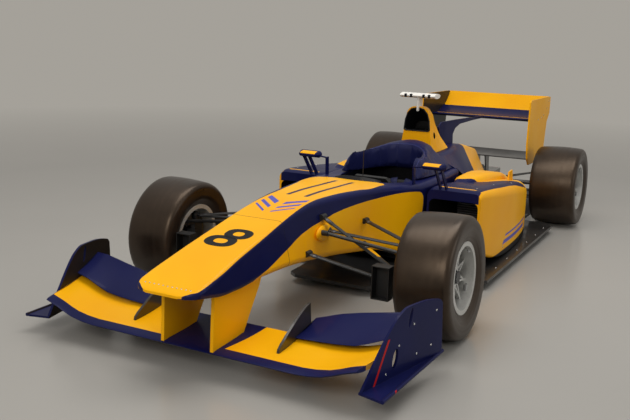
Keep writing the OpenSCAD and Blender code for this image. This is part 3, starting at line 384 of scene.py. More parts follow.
def tyreRubber(name, centre, lean):  # slick tread with scuff lines round it, ridged side wall
    # the glow tint colours every reflection warm brown: a painted reflection of the warm surroundings
    material, tree, shader = newFinish(name, Specular_IOR_Level=rubber["specular"], Specular_Tint=rubber["glow"])
    where = coordinate(tree)
    turn = addNode(tree, "Mapping", Vector=where, Location=centre, Rotation=(lean, 0.0, 0.0))
    turn.vector_type = "TEXTURE"
    x, across, z = partsOf(Wire(turn.outputs[0]))
    radius = (x * x + z * z).calc("SQRT")
    rings = Wire(addNode(tree, "CombineXYZ", X=across, Y=radius).outputs[0])
    scuffs = noiseOf(rings, rubber["scuffs"], 4.0, 0.6)
    patches = noiseOf(where, rubber["patches"], 5.0, 0.6)
    # dust patches along the scuff lines; their brown shade is real dust and also a painted warm sheen
    dustAndSheen = rescale(patches, 0.35, 0.75) * spread(scuffs, 0.3, 1.0)
    wireUp(shader, Base_Color=blend(dustAndSheen, *rubber["shades"]),
           Roughness=rescale(scuffs + patches, 0.7, 1.3, *rubber["roughness"]))
    ridges = waves(radius, rubber["ridges"]) * between(radius, *rubber["wall"])
    bumpInto(shader, ridges * rubber["ridgeHeight"] + scuffs * rubber["scuffHeight"], *rubber["bump"])
    return material


def grained(name, shades, roughness, bump, grain, noise, relief=None, **sockets):
    material, tree, shader = newFinish(name, **sockets)  # colour, gloss and relief follow one noise
    stretched = addNode(tree, "Mapping", Vector=coordinate(tree), Scale=grain)
    tone = noiseOf(Wire(stretched.outputs[0]), *noise)
    wireUp(shader, Base_Color=blend(spread(tone), *shades), Roughness=spread(tone, *roughness))
    bumpInto(shader, relief(tree) if relief else tone, *bump)
    return material


metal = {"drift": 0.08, "depth": 0.0008, "edge": 0.0015, "noise": (4.0, 4.0)}


def metalFinish(name, shades, roughness, grain=(40.0, 40.0, 40.0), bump=0.05, metallic=1.0):
    return grained(name, shades, (roughness - metal["drift"], roughness + metal["drift"]),
                   (bump, metal["depth"], metal["edge"]), grain, metal["noise"], Metallic=metallic)


leather = {"cells": 420.0, "glossier": 0.06, "duller": 0.1, "bump": (0.25, 0.0008), "noise": (9.0, 4.0),
           "specular": 0.22}


def leatherGrain(tree):
    return Wire(addNode(tree, "TexVoronoi", Vector=coordinate(tree), Scale=leather["cells"]).outputs["Distance"])


def leatherette(name, shades, roughness):  # fine grained cover of the pads
    return grained(name, shades, (roughness - leather["glossier"], roughness + leather["duller"]), leather["bump"],
                   (1.0, 1.0, 1.0), leather["noise"], leatherGrain, Specular_IOR_Level=leather["specular"])


exhaust = {"span": (-1.3, -1.0), "wander": 0.1, "roughness": (0.25, 0.4),
           "stops": ((0.0, (0.1, 0.13, 0.3)), (0.25, (0.26, 0.13, 0.16)), (0.5, (0.42, 0.25, 0.1)),
                     (1.0, (0.45, 0.43, 0.4)))}


def exhaustMetal():  # straw, brown and blue heat colours towards the tip
    material, tree, shader = newFinish("exhaust_steel", Metallic=1.0)
    where = coordinate(tree)
    along = place(tree)[0] + noiseOf(where, 14.0, 3.0) * exhaust["wander"]
    heat = addNode(tree, "ValToRGB", Fac=rescale(along, *exhaust["span"]))
    stops = heat.color_ramp.elements
    while len(stops) < len(exhaust["stops"]):
        stops.new(0.5)
    for stop, (share, colour) in zip(stops, exhaust["stops"]):
        stop.position = share
        stop.color = (*colour, 1.0)
    wireUp(shader, Base_Color=Wire(heat.outputs["Color"]),
           Roughness=spread(noiseOf(where, 60.0), *exhaust["roughness"]))
    return material


lamp = {"cells": 700.0, "shades": ((0.28, 0.004, 0.004), (0.62, 0.02, 0.015)), "bump": (0.5, 0.0015)}


def lampFinish():  # moulded red lens with fine cells
    material, tree, shader = newFinish("lamp_lens", Coat_Weight=1.0, Coat_Roughness=0.03, Roughness=0.22)
    x, y, z = place(tree)
    cells = waves(y, lamp["cells"]) * waves(z, lamp["cells"])
    wireUp(shader, Base_Color=blend(rescale(cells, -1.0, 1.0), *lamp["shades"]))
    bumpInto(shader, cells, *lamp["bump"])
    return material


radiator = {"fins": 1400.0, "tubes": 420.0, "shades": ((0.02, 0.02, 0.021), (0.22, 0.22, 0.23)),
            "roughness": (0.4, 0.6), "bump": (0.8, 0.003)}


def radiatorFinish():  # thin upright fins between flat tubes
    material, tree, shader = newFinish("radiator_core", Metallic=0.9)
    x, y, z = place(tree)
    core = waves(y, radiator["fins"]) | waves(z, radiator["tubes"])
    wireUp(shader, Base_Color=blend(rescale(core, -0.2, 1.0), *radiator["shades"]),
           Roughness=spread(noiseOf(coordinate(tree), 30.0), *radiator["roughness"]))
    bumpInto(shader, core, *radiator["bump"])
    return material


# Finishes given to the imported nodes

wheelFrames = {  # centre and lean of each wheel
    "front_left": ((1.28, 0.788, 0.31113), -2.5), "front_right": ((1.28, -0.788, 0.31113), 2.5),
    "rear_left": ((-1.74, 0.724, 0.31026), -1.2), "rear_right": ((-1.74, -0.724, 0.31026), 1.2),
}
carbonDark = carbonFinish("carbon_weave", carbon["grey"])
satinBlack = carbonFinish("satin_black", ((0.005, 0.005, 0.0055), (0.009, 0.009, 0.0095)), 0.44, 0.0)
brightSteel = metalFinish("bright_steel", ((0.48, 0.48, 0.48), (0.62, 0.62, 0.62)), 0.22, (12.0, 80.0, 80.0))
yellowPlain = plainPaint("yellow_paint_plain", colours["yellow"])
padNavy = leatherette("pad_navy", ((0.0055, 0.0075, 0.05), (0.0085, 0.0115, 0.068)), 0.4)
seatBlack = leatherette("seat_black", ((0.01, 0.01, 0.011), (0.018, 0.018, 0.019)), 0.5)
nodeFinishes = {}
for finish, names in (
    (lacquer("hull_paint", hullColour), ("monocoque", "nose_cone")),
    (lacquer("sidepod_paint", sidepodColour), ("sidepod_left", "sidepod_right")),
    (lacquer("front_plane_paint", mainPlaneColour), ("front_wing_main_plane",)),
    (lacquer("tower_paint", towerColour), ("airbox",)),
    (lacquer("engine_cover_paint", engineCoverColour), ("engine_cover",)),
    (lacquer("rear_plane_paint", rearPlaneColour), ("rear_wing_main_plane",)),
    (lacquer("mirror_paint", mirrorColour), ("mirrors",)),
    (lacquer("front_plate_paint", lambda tree: plateColour(tree, colours["navy"], carbon["brown"], True)),
     ("front_wing_endplates",)),
    (lacquer("rear_plate_paint", lambda tree: plateColour(tree, colours["yellow"], carbon["grey"], False)),
     ("rear_wing_endplates",)),
    (plainPaint("navy_paint_plain", colours["navy"]), ("front_wing_flaps",)),
    (plainPaint("white_paint_plain", colours["white"]), ("onboard_camera",)),
    (yellowPlain, ("nose_pylons", "rear_wing_flap")),
    (carbonDark, ("crash_structure",)),
    (carbonFinish("strake_carbon", carbon["brown"], 0.36), ("front_wing_strakes", "rear_beam_wing")),
    (carbonFinish("floor_carbon", ((0.008, 0.008, 0.008), (0.017, 0.016, 0.016)), 0.42, 0.3),
     ("floor", "diffuser")),
    (satinBlack, ("front_suspension_arms", "rear_suspension_arms", "front_upright_left", "front_upright_right",
                  "steering_rack", "steering_wheel")),
    (metalFinish("rim_silver", ((0.58, 0.58, 0.565), (0.66, 0.66, 0.64)), 0.4, (30.0, 30.0, 30.0), 0.02, 0.55),
     ["rim_" + corner for corner in wheelFrames]),
    (metalFinish("cast_grey", ((0.09, 0.09, 0.095), (0.16, 0.16, 0.165)), 0.46, (60.0, 60.0, 60.0), 0.25),
     ("gearbox", "hub_front_left", "hub_front_right", "axle_rear_left", "axle_rear_right")),
    (metalFinish("machined_grey", ((0.3, 0.3, 0.31), (0.42, 0.42, 0.43)), 0.32, (8.0, 90.0, 90.0)),
     ("engine_block", "rear_uprights")),
    (grained("plank_laminate", ((0.09, 0.045, 0.018), (0.2, 0.11, 0.05)), (0.5, 0.75), (0.2, 0.001),
             (2.0, 60.0, 60.0), (3.0, 5.0)), ("plank",)),  # resin board, its grain along the car
    (padNavy, ("headrest_padding",)),
    (seatBlack, ("driver_seat",)),
    (radiatorFinish(), ("radiators",)),
    (lampFinish(), ("rain_light",)),
    (exhaustMetal(), ("exhausts",)),
):
    nodeFinishes.update(dict.fromkeys(names, finish))
for corner, (centre, lean) in wheelFrames.items():
    nodeFinishes["tyre_" + corner] = tyreRubber("tyre_rubber_" + corner, centre, math.radians(lean))


def smoothNode(node, limit):  # shading normals only: faces within the limit angle shade as one surface
    mesh = node.data
    keys = [tuple(round(c, 5) for c in vertex.co) for vertex in mesh.vertices]
    around = {}
    for face in mesh.polygons:
        face.use_smooth = True
        for corner in face.vertices:
            around.setdefault(keys[corner], []).append(face.index)
    least = math.cos(math.radians(limit))
    normals = []
    for face in mesh.polygons:
        for corner in face.vertices:
            total = Vector()
            for other in around[keys[corner]]:
                neighbour = mesh.polygons[other]
                if neighbour.normal.dot(face.normal) > least:
                    total += neighbour.normal * neighbour.area
            normals.append(total.normalized() if total.length > 0 else face.normal)
    mesh.normals_split_custom_set(normals)


for name, node in nodes.items():
    node.data.materials.clear()
    node.data.materials.append(nodeFinishes[name])
    smoothNode(node, 32.0)
print("finishes on", len(nodeFinishes), "nodes")


# Meshes of the added pieces

def newShape():
    return {"points": [], "faces": []}


def addGrid(shape, rows, around=False, along=False):  # quads between rows of points
    start, wide, lines = len(shape["points"]), len(rows[0]), len(rows)
    for row in rows:
        shape["points"].extend(Vector(point) for point in row)
    for i in range(lines if along else lines - 1):
        for j in range(wide if around else wide - 1):
            nextRow, nextPoint = (i + 1) % lines, (j + 1) % wide
            shape["faces"].append((start + i * wide + j, start + i * wide + nextPoint,
                                   start + nextRow * wide + nextPoint, start + nextRow * wide + j))
    return start


def addRings(shape, rings):  # closed solid through rings of points
    start, wide = addGrid(shape, rings, around=True), len(rings[0])
    for first in (start, start + (len(rings) - 1) * wide):
        shape["faces"].append(tuple(range(first, first + wide)))


def circle(steps):  # cosine and sine round a circle
    return [(math.cos(a), math.sin(a)) for a in (2 * math.pi * k / steps for k in range(steps))]


def squircle(steps, power):  # circle pushed out towards a rectangle
    return [(c * bend, s * bend) for c, s, bend in (
        (c, s, (abs(c) ** power + abs(s) ** power) ** (-1 / power)) for c, s in circle(steps))]


def frameOf(direction):  # two axes across a direction
    ahead = Vector(direction).normalized()
    helper = Vector((0.0, 0.0, 1.0)) if abs(ahead.z) < 0.9 else Vector((1.0, 0.0, 0.0))
    first = ahead.cross(helper).normalized()
    return first, ahead.cross(first), ahead


def headings(path):  # each point of a path and the direction there
    path = [Vector(point) for point in path]
    return [(point, (path[min(i + 1, len(path) - 1)] - path[max(i - 1, 0)]).normalized())
            for i, point in enumerate(path)]


def addLathe(shape, at, axis, profile, sides=20):  # profile of radius and height along the axis
    first, second, ahead = frameOf(axis)
    addRings(shape, [[Vector(at) + ahead * height + (first * c + second * s) * max(radius, 1e-5)
                      for c, s in circle(sides)] for radius, height in profile])


def addTube(shape, path, radius, sides=12):  # round tube along points
    path = headings(path)
    first = frameOf(path[0][1])[0]
    rings = []
    for point, ahead in path:
        first = (first - ahead * first.dot(ahead)).normalized()
        second = ahead.cross(first)
        rings.append([point + (first * c + second * s) * radius for c, s in circle(sides)])
    addRings(shape, rings)


strapSection = ((-0.5, 0.0), (-0.46, 0.5), (0.46, 0.5), (0.5, 0.0), (0.46, -0.5), (-0.46, -0.5))


def addStrap(shape, path, across, width, thick):  # flat webbing along points, rounded at its edges
    rings = []
    for point, ahead in headings(path):
        sideways = (Vector(across) - ahead * ahead.dot(Vector(across))).normalized()
        outward = ahead.cross(sideways)
        rings.append([point + sideways * (u * width) + outward * (v * thick) for u, v in strapSection])
    addRings(shape, rings)


def addSlab(shape, outline, push):  # flat outline pushed along a vector
    outline = [Vector(point) for point in outline]
    addRings(shape, [outline, [point + Vector(push) for point in outline]])


def addStud(shape, at, normal, radius, height):  # screw head with a socket
    addLathe(shape, at, normal, ((radius, -0.0015), (radius, height * 0.5), (radius * 0.82, height),
                                 (radius * 0.42, height), (radius * 0.36, height * 0.35), (0.0, height * 0.3)), 14)


def finishShape(shape, name, finish, body="chassis", limit=38.0):
    mesh = bpy.data.meshes.new(name)
    mesh.from_pydata(shape["points"], [], shape["faces"])
    work = bmesh.new()
    work.from_mesh(mesh)
    bmesh.ops.recalc_face_normals(work, faces=work.faces)
    work.to_mesh(mesh)
    work.free()
    mesh.materials.append(finish)
    mesh.shade_smooth()
    mesh.set_sharp_from_angle(angle=math.radians(limit))
    piece = bpy.data.objects.new(name, mesh)
    scene.collection.objects.link(piece)
    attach(piece, body)


def skinOf(*things):  # search tree over the faces of objects
    points, faces = [], []
    for thing in things:
        start = len(points)
        points.extend(thing.matrix_world @ vertex.co for vertex in thing.data.vertices)
        faces.extend([start + corner for corner in face.vertices] for face in thing.data.polygons)
    return BVHTree.FromPolygons(points, faces)


def touch(skin, start, direction):  # first point of a skin along a ray, and its normal towards the ray
    point, normal, index, distance = skin.ray_cast(Vector(start), Vector(direction).normalized())
    if point is None:
        return None, None
    return point, (normal if normal.dot(Vector(direction)) < 0 else -normal)


def drop(skin, x, y):  # first point of a skin under x and y
    return touch(skin, (x, y, 1.5), (0, 0, -1))


# Race number on the nose, laid on its skin

numeral = {"loops": [{"x": 2.008, "y": -0.018, "halfX": 0.054, "halfY": 0.08, "band": 0.031},
                     {"x": 1.921, "y": 0.024, "halfX": 0.051, "halfY": 0.07, "band": 0.029}],
           "sideBand": 1.45, "power": 2.4, "steps": 72, "lift": 0.0007, "sink": -0.001}


def makeNumeral():
    skin = skinOf(nodes["nose_cone"], nodes["monocoque"])
    shape = newShape()
    lift, sink = numeral["lift"], numeral["sink"]
    for loop in numeral["loops"]:
        rows = []
        for c, s in squircle(numeral["steps"], numeral["power"]):
            row = []
            for share, height in ((1.0, sink), (1.0, lift), (0.66, lift), (0.33, lift), (0.0, lift), (0.0, sink)):
                inset = loop["band"] * (1 - share)
                point, normal = drop(skin, loop["x"] + (loop["halfX"] - inset) * c,
                                     loop["y"] + (loop["halfY"] - inset * numeral["sideBand"]) * s)
                row.append(point + normal * height)
            rows.append(row)
        addGrid(shape, rows, along=True)
    finishShape(shape, "race_number", decalBlack)


# Screws, rivets and plugs on both sides

hullNodes = ("nose_cone", "monocoque")
podNodes = ("sidepod_left", "sidepod_right")
fasteners = {  # nodes, way, radius, height and places: x and y from the top, x and z from the side
    "panel_fasteners": [
        (hullNodes, "top", 0.0035, 0.0012, [(2.418, 0.0232 * k) for k in range(6)]),
        (podNodes, "side", 0.0065, 0.0012, [(x, 0.135) for x in (0.16, -0.16, -0.48, -0.8, -1.08)]),
        (podNodes, "top", 0.0065, 0.0012, [(0.2, 0.62), (-0.1, 0.64), (-0.45, 0.66)]),
        (("engine_cover",), "side", 0.0065, 0.0012,
         [(x, 0.5376 + 0.08 * x) for x in (-0.48, -0.7, -0.92, -1.14, -1.36, -1.58)]),
        (("floor",), "top", 0.007, 0.002, [(x, 0.745) for x in (0.36, 0.1, -0.16, -0.42, -0.68, -0.94, -1.2)]),
        (("front_wing_endplates",), "side", 0.0055, 0.0015,
         [(1.931, 0.281), (2.034, 0.214), (1.9, 0.141), (1.79, 0.15), (1.76, 0.3), (2.12, 0.115)]),
        (("rear_wing_endplates",), "side", 0.006, 0.0015,
         [(-1.98, 0.8), (-2.08, 0.812), (-2.16, 0.828), (-2.26, 0.88), (-2.32, 0.935), (-1.97, 0.475),
          (-2.07, 0.492)])],
    "hull_plugs": [(hullNodes, "side", 0.0085, 0.0008, [(1.562, 0.4)])],
}


def makeFasteners(name, finish):
    shape = newShape()
    for names, way, radius, height, places in fasteners[name]:
        skin = skinOf(*[nodes[node] for node in names])
        for x, other in places:
            for sign in ((1, -1) if other else (1,)):
                if way == "top":
                    point, normal = drop(skin, x, sign * other)
                else:
                    point, normal = touch(skin, (x, sign * 1.5, other), (0, -sign, 0))
                if point is not None:
                    addStud(shape, point, normal, radius, height)
    finishShape(shape, name, finish)


# Cockpit: padded headrest and seat, harness, deflector and aerial

pads = {"voxel": 0.0062, "smoothing": 6, "shrink": 0.005, "cap": 0.008, "pressure": 4.0, "frames": 20}


def applied(piece, kind, **values):  # adds a modifier and applies it
    modifier = piece.modifiers.new(kind, kind)
    for key, value in values.items():
        setattr(modifier, key, value)
    bpy.ops.object.modifier_apply(modifier=kind)


def swell(piece):  # cloth blown up for a moment, no vertex moved further than the cap
    mesh = piece.data
    rest = [vertex.co.copy() for vertex in mesh.vertices]
    cloth = piece.modifiers.new("swell", "CLOTH")
    cloth.settings.use_pressure = True
    cloth.settings.uniform_pressure_force = pads["pressure"]
    cloth.settings.effector_weights.gravity = 0.0
    cloth.settings.quality = 4
    cloth.collision_settings.use_collision = False
    for frameNumber in range(1, pads["frames"] + 1):
        scene.frame_set(frameNumber)
    bpy.ops.object.modifier_apply(modifier="swell")
    scene.frame_set(1)
    for vertex, before in zip(mesh.vertices, rest):
        move = vertex.co - before
        if move.length > pads["cap"]:
            vertex.co = before + move * (pads["cap"] / move.length)
    applied(piece, "SUBSURF", levels=1, render_levels=1)


def makePad(name, source, finish):  # soft body swollen from a slightly smaller copy of a solid
    mesh = bpy.data.meshes.new(name)
    mesh.from_pydata(source["points"], [], source["faces"])
    piece = bpy.data.objects.new(name, mesh)
    scene.collection.objects.link(piece)
    bpy.context.view_layer.objects.active = piece
    applied(piece, "REMESH", mode="VOXEL", voxel_size=pads["voxel"])
    applied(piece, "SMOOTH", iterations=pads["smoothing"], factor=0.5)
    for vertex, normal in zip(mesh.vertices, [v.normal.copy() for v in mesh.vertices]):
        vertex.co = vertex.co - normal * pads["shrink"]
    swell(piece)
    mesh.materials.append(finish)
    mesh.shade_smooth()
    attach(piece, "chassis")
    return piece


bolsters = {"foot": 0.5803, "rise": [(-0.4, 1.0), (-0.16, 1.0), (-0.02, 1.06), (0.13, 1.2), (0.22, 1.58),
                                     (0.26, 2.0), (0.3, 2.4)]}


def riseAt(x):  # the side bolsters stand taller towards the front
    rows = bolsters["rise"]
    for (low, first), (high, second) in zip(rows, rows[1:]):
        if x <= high:
            return first + (second - first) * (max(x, low) - low) / (high - low)
    return rows[-1][1]


def makeHeadrest():
    node, foot = nodes["headrest_padding"], bolsters["foot"]
    points = [node.matrix_world @ vertex.co for vertex in node.data.vertices]
    source = {"points": [Vector((p.x, p.y, foot + (p.z - foot) * riseAt(p.x))) for p in points],
              "faces": [list(face.vertices) for face in node.data.polygons]}
    pad = makePad("headrest_pad", source, padNavy)
    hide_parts("headrest_padding")
    return pad


piping = {"radius": 0.0028, "proud": 0.35, "lowest": 0.6,
          "rows": [(0.255, 0.238), (0.19, 0.232), (0.08, 0.22), (-0.06, 0.176), (-0.12, 0.126), (-0.155, 0.062),
                   (-0.164, 0.0)]}


def smoothLine(rows, steps):  # Catmull-Rom line through points
    rows = [Vector(row) for row in rows]
    line = []
    for i in range(len(rows) - 1):
        a, b, c, d = rows[max(i - 1, 0)], rows[i], rows[i + 1], rows[min(i + 2, len(rows) - 1)]
        for k in range(steps):
            t = k / steps
            line.append(0.5 * ((2 * b) + (c - a) * t + (2 * a - 5 * b + 4 * c - d) * t * t
                               + (3 * b - a - 3 * c + d) * t ** 3))
    return line + [rows[-1]]


def makePiping(pad):  # sewn edge along the inner rim of the headrest
    skin = skinOf(pad)
    half = smoothLine([(x, y, 0.0) for x, y in piping["rows"]], 8)
    path = []
    for point in half + [Vector((p.x, -p.y, 0.0)) for p in reversed(half[:-1])]:
        hit, normal = drop(skin, point.x, point.y)
        if hit is not None and hit.z > piping["lowest"]:
            path.append(hit + Vector((0.0, 0.0, piping["radius"] * piping["proud"])))
    shape = newShape()
    addTube(shape, path, piping["radius"], 10)
    finishShape(shape, "headrest_piping", padPiping)


seat = {"half": 0.132, "flat": 0.0539, "thick": 0.03, "wing": 0.055, "wingEnds": 0.35, "wingPeak": 1.15,
        "line": [(0.372, 0.215), (0.345, 0.222), (0.27, 0.18), (0.18, 0.158), (0.08, 0.156), (0.015, 0.19),
                 (-0.035, 0.27), (-0.075, 0.37), (-0.105, 0.46), (-0.122, 0.518)]}


def makeSeat():  # sections across the seat, their edges raised into side wings
    line = headings(smoothLine([(x, 0.0, z) for x, z in seat["line"]], 4))
    across = [seat["half"] * (k / 12 - 1) for k in range(25)]
    edges = [max(0.0, (abs(y) - seat["flat"]) / (seat["half"] - seat["flat"])) for y in across]
    rings = []
    for i, (point, ahead) in enumerate(line):
        out = Vector((ahead.z, 0.0, -ahead.x))
        arch = math.sin(math.pi * min(1.0, i / (len(line) - 1) * seat["wingPeak"]))
        lift = seat["wing"] * (seat["wingEnds"] + (1 - seat["wingEnds"]) * arch)
        top, under = [[point + out * (lift * edge ** 2 - offset) + Vector((0.0, y, 0.0))
                       for y, edge in zip(across, edges)] for offset in (0.0, seat["thick"])]
        rings.append(top + under[::-1])
    shape = newShape()
    addRings(shape, rings)
    pad = makePad("seat_pad", shape, seatBlack)
    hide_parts("driver_seat")
    return pad


harness = {"width": 0.046, "thick": 0.0025, "lift": 0.007, "eye": (0.32, 0.55),
           "shoulder": [(-0.128, 0.512), (-0.112, 0.47), (-0.08, 0.37), (-0.04, 0.275), (0.012, 0.198),
                        (0.055, 0.172)],
           "shoulderTop": 0.052, "shoulderEnd": 0.022, "adjusters": ((6, 0.2), (9, 0.3)),
           "lap": (0.055, 0.022, 0.165), "lapStep": (0.01, 0.014, 0.004), "crotch": (0.07, 0.022, 0.165),
           "crotchWidth": 0.8,
           "buckle": (0.062, 0.0, 0.176), "buckleTop": (0.25, 0.0, 1.0), "buckleLift": (0.0, 0.0, 0.004),
           "buckleProfile": ((0.03, -0.004), (0.03, 0.006), (0.026, 0.011), (0.012, 0.012), (0.01, 0.01),
                             (0.0, 0.01)),
           "adjuster": ((0.004, -0.026, 0.01), (0.004, 0.026, 0.01), (0.012, 0.026, -0.01),
                        (0.012, -0.026, -0.01))}


def makeHarness(pad):
    skin = skinOf(pad)
    eyeX, eyeZ = harness["eye"]
    width, thick = harness["width"], harness["thick"]

    def onPad(x, y, z):  # point on the pad's face, a little proud
        start = Vector((eyeX, y, eyeZ))
        point, normal = touch(skin, start, Vector((x, y, z)) - start)
        return (point + normal * harness["lift"]) if point is not None else Vector((x, y, z))

    def onShoulder(sign, point, share):
        y = sign * (harness["shoulderTop"] * (1 - share) + harness["shoulderEnd"] * share)
        return onPad(point.x, y, point.z)

    straps, buckle = newShape(), newShape()
    line = smoothLine([(x, 0.0, z) for x, z in harness["shoulder"]], 5)
    (lapX, lapY, lapZ), (stepX, stepY, stepZ) = harness["lap"], harness["lapStep"]
    addLathe(buckle, onPad(*harness["buckle"]) + Vector(harness["buckleLift"]), harness["buckleTop"],
             harness["buckleProfile"], 28)
    for sign in (1, -1):
        shoulder = [onShoulder(sign, point, k / (len(line) - 1)) for k, point in enumerate(line)]
        addStrap(straps, shoulder, (0, 1, 0), width, thick)
        lap = [onPad(lapX + stepX * k, sign * (lapY + stepY * k), lapZ + stepZ * k) for k in range(8)]
        addStrap(straps, lap, (1, 0, 0.3), width, thick)
        for k, share in harness["adjusters"]:
            at = onShoulder(sign, line[k], share)
            addSlab(buckle, [at + Vector(corner) for corner in harness["adjuster"]], (0.003, 0, 0.002))
    crotchX, crotchStep, crotchZ = harness["crotch"]
    addStrap(straps, [onPad(crotchX + crotchStep * k, 0.0, crotchZ) for k in range(7)], (0, 1, 0),
             width * harness["crotchWidth"], thick)
    finishShape(straps, "harness_webbing", webbing)
    finishShape(buckle, "harness_buckle", darkSteel)


deflector = {"x": 0.63, "half": 0.15, "height": 0.02, "bow": 0.03, "lean": 0.02, "thick": 0.003,
             "sink": 0.004, "bowPower": 2.2, "endDrop": 0.75}
aerial = {"at": (0.56, 0.022), "top": 0.78, "radius": 0.0024, "tip": 0.0034,
          "foot": ((0.013, -0.002), (0.013, 0.003), (0.007, 0.008), (0.0045, 0.02))}


def makeCockpitFront():
    skin = skinOf(nodes["monocoque"])
    shape, mast = newShape(), newShape()
    rows = []
    back = Vector((deflector["thick"], 0, 0))
    for k in range(25):
        share = k / 12 - 1
        x = deflector["x"] - deflector["bow"] * abs(share) ** deflector["bowPower"]
        foot, normal = drop(skin, x, deflector["half"] * share)
        rise = deflector["height"] * (1 - deflector["endDrop"] * abs(share) ** 3)
        base = foot - Vector((0.0, 0.0, deflector["sink"]))
        top = foot + Vector((-deflector["lean"], 0.0, rise))
        rows.append([base, top, top - back, base - back])
    addRings(shape, rows)
    finishShape(shape, "wind_deflector", smoked)
    foot, normal = drop(skin, *aerial["at"])
    height, radius, tip = aerial["top"] - foot.z, aerial["radius"], aerial["tip"]
    addLathe(mast, foot, (0, 0, 1), (*aerial["foot"], (radius, 0.032), (radius, height - 0.006),
                                     (tip, height - 0.004), (tip, height), (0.0, height)), 16)
    finishShape(mast, "aerial", satinBlack)


# Steering wheel: soft grips, buttons, dials, display and shift paddles

helm = {"at": (0.375, 0.0, 0.515), "up": (0.2588, 0.0, 0.9659), "out": (-0.9659, 0.0, 0.2588), "face": 0.018,
        "sunk": 0.001, "gripSide": 0.117, "gripWave": 0.004, "gripLow": -0.045, "gripHigh": 0.058,
        "gripRadius": 0.0165,
        "display": (0.046, 0.006, 0.062), "displayCorner": 0.008, "displayThick": 0.007,
        "buttons": [(0.07, 0.05, "red"), (0.07, 0.028, "green"), (0.052, 0.056, "blue"),
                    (0.062, -0.024, "yellow"), (0.04, -0.036, "white")],
        "button": ((0.0075, 0.0), (0.0075, 0.005), (0.006, 0.008), (0.0, 0.0085)),
        "dials": [(0.0, -0.04), (0.028, -0.052), (-0.028, -0.052)],
        "dial": ((0.012, 0.0), (0.012, 0.004), (0.009, 0.006), (0.009, 0.013), (0.0075, 0.015), (0.0, 0.015)),
        "paddle": ((0.04, 0.01), (0.095, 0.016), (0.104, 0.034), (0.1, 0.052), (0.05, 0.04)),
        "paddleBack": -0.02, "paddleThick": -0.004, "pin": (0.045, 0.024), "pinEnds": (-0.022, -0.006),
        "pinRadius": 0.005}


def helmPoint(side, up, out):
    return Vector(helm["at"]) + Vector((0, 1, 0)) * side + Vector(helm["up"]) * up + Vector(helm["out"]) * out


def makeHelm():
    grips, panel, dials, paddles = newShape(), newShape(), newShape(), newShape()
    buttons = {colour: newShape() for side, up, colour in helm["buttons"]}
    face, out = helm["face"] - helm["sunk"], Vector(helm["out"])
    rise = helm["gripHigh"] - helm["gripLow"]
    for sign in (1, -1):
        addTube(grips, [helmPoint(sign * (helm["gripSide"] - helm["gripWave"] * math.cos(k / 11 * math.pi * 2)),
                                  helm["gripLow"] + rise * k / 11, helm["face"] / 2) for k in range(12)],
                helm["gripRadius"], 16)
        for side, up, colour in helm["buttons"]:
            addLathe(buttons[colour], helmPoint(sign * side, up, face), out, helm["button"], 18)
        addSlab(paddles, [helmPoint(sign * u, v, helm["paddleBack"]) for u, v in helm["paddle"]],
                out * helm["paddleThick"])
        pinSide, pinUp = helm["pin"]
        addTube(paddles, [helmPoint(sign * pinSide, pinUp, end) for end in helm["pinEnds"]], helm["pinRadius"], 10)
    (wide, low, high), cut = helm["display"], helm["displayCorner"]
    addSlab(panel, [helmPoint(u, v, face) for u, v in (
        (-wide, low + cut), (cut - wide, low), (wide - cut, low), (wide, low + cut),
        (wide, high - cut), (wide - cut, high), (cut - wide, high), (-wide, high - cut))],
            out * helm["displayThick"])
    for side, up in helm["dials"]:
        addLathe(dials, helmPoint(side, up, face), out, helm["dial"], 12)
    finishShape(grips, "helm_grips", suede, "steering_wheel")
    finishShape(panel, "helm_display", screen, "steering_wheel")
    for colour, shape in buttons.items():
        finishShape(shape, "helm_buttons_" + colour, buttonFinishes[colour], "steering_wheel")
    finishShape(dials, "helm_dials", brightSteel, "steering_wheel")
    finishShape(paddles, "shift_paddles", carbonDark, "steering_wheel")


# Front suspension: metal ends on the legs and a painted sleeve

legs = {"upperOuter": (1.28, 0.68, 0.42313), "lowerOuter": (1.28, 0.68, 0.20713),
        "pushOuter": (1.2782, 0.6235, 0.2455), "upperFront": (1.346, 0.189, 0.469),
        "upperRear": (0.964, 0.2315, 0.454), "lowerFront": (1.55, 0.1898, 0.39),
        "lowerRear": (0.98, 0.2291, 0.322), "push": (1.38, 0.1787, 0.544)}
collars = {"proud": 0.0016, "arm": (0.034, 0.013), "rod": (0.026, 0.014),
           "ends": [("upperFront", "upperOuter"), ("upperRear", "upperOuter"), ("lowerFront", "lowerOuter"),
                    ("lowerRear", "lowerOuter")],
           "outer": (0.03, 0.03), "inner": (0.022, 0.026), "rodOuter": (0.03, 0.04), "rodInner": (0.02, 0.045),
           "sleeve": (0.06, 0.11)}


def addCollar(shape, sign, start, end, span, size):  # oval collar round a leg, its span given from the end
    start, end = [Vector((x, y * sign, z)) for x, y, z in (legs[start], legs[end])]
    (fromEnd, length), (chord, thick) = span, size
    ahead = (start - end).normalized()
    level = (Vector((1, 0, 0)) - ahead * ahead.x).normalized()
    rise = ahead.cross(level)
    rings = []
    for share, grow in ((0.0, -0.4), (0.12, 1.0), (0.88, 1.0), (1.0, -0.4)):
        middle = end + ahead * (fromEnd + length * share)
        extra = collars["proud"] * grow
        rings.append([middle + level * ((chord / 2 + extra) * c) + rise * ((thick / 2 + extra) * s)
                      for c, s in circle(28)])
    addRings(shape, rings)


def makeLegFittings():
    metal, yellow = newShape(), newShape()
    for sign in (1, -1):
        for inner, outer in collars["ends"]:
            addCollar(metal, sign, inner, outer, collars["outer"], collars["arm"])
            addCollar(metal, sign, outer, inner, collars["inner"], collars["arm"])
        addCollar(metal, sign, "pushOuter", "push", collars["rodInner"], collars["rod"])
        addCollar(metal, sign, "push", "pushOuter", collars["rodOuter"], collars["rod"])
        addCollar(yellow, sign, "lowerOuter", "lowerRear", collars["sleeve"], collars["arm"])
    finishShape(metal, "leg_ends", darkSteel)
    finishShape(yellow, "leg_sleeves", yellowPlain)


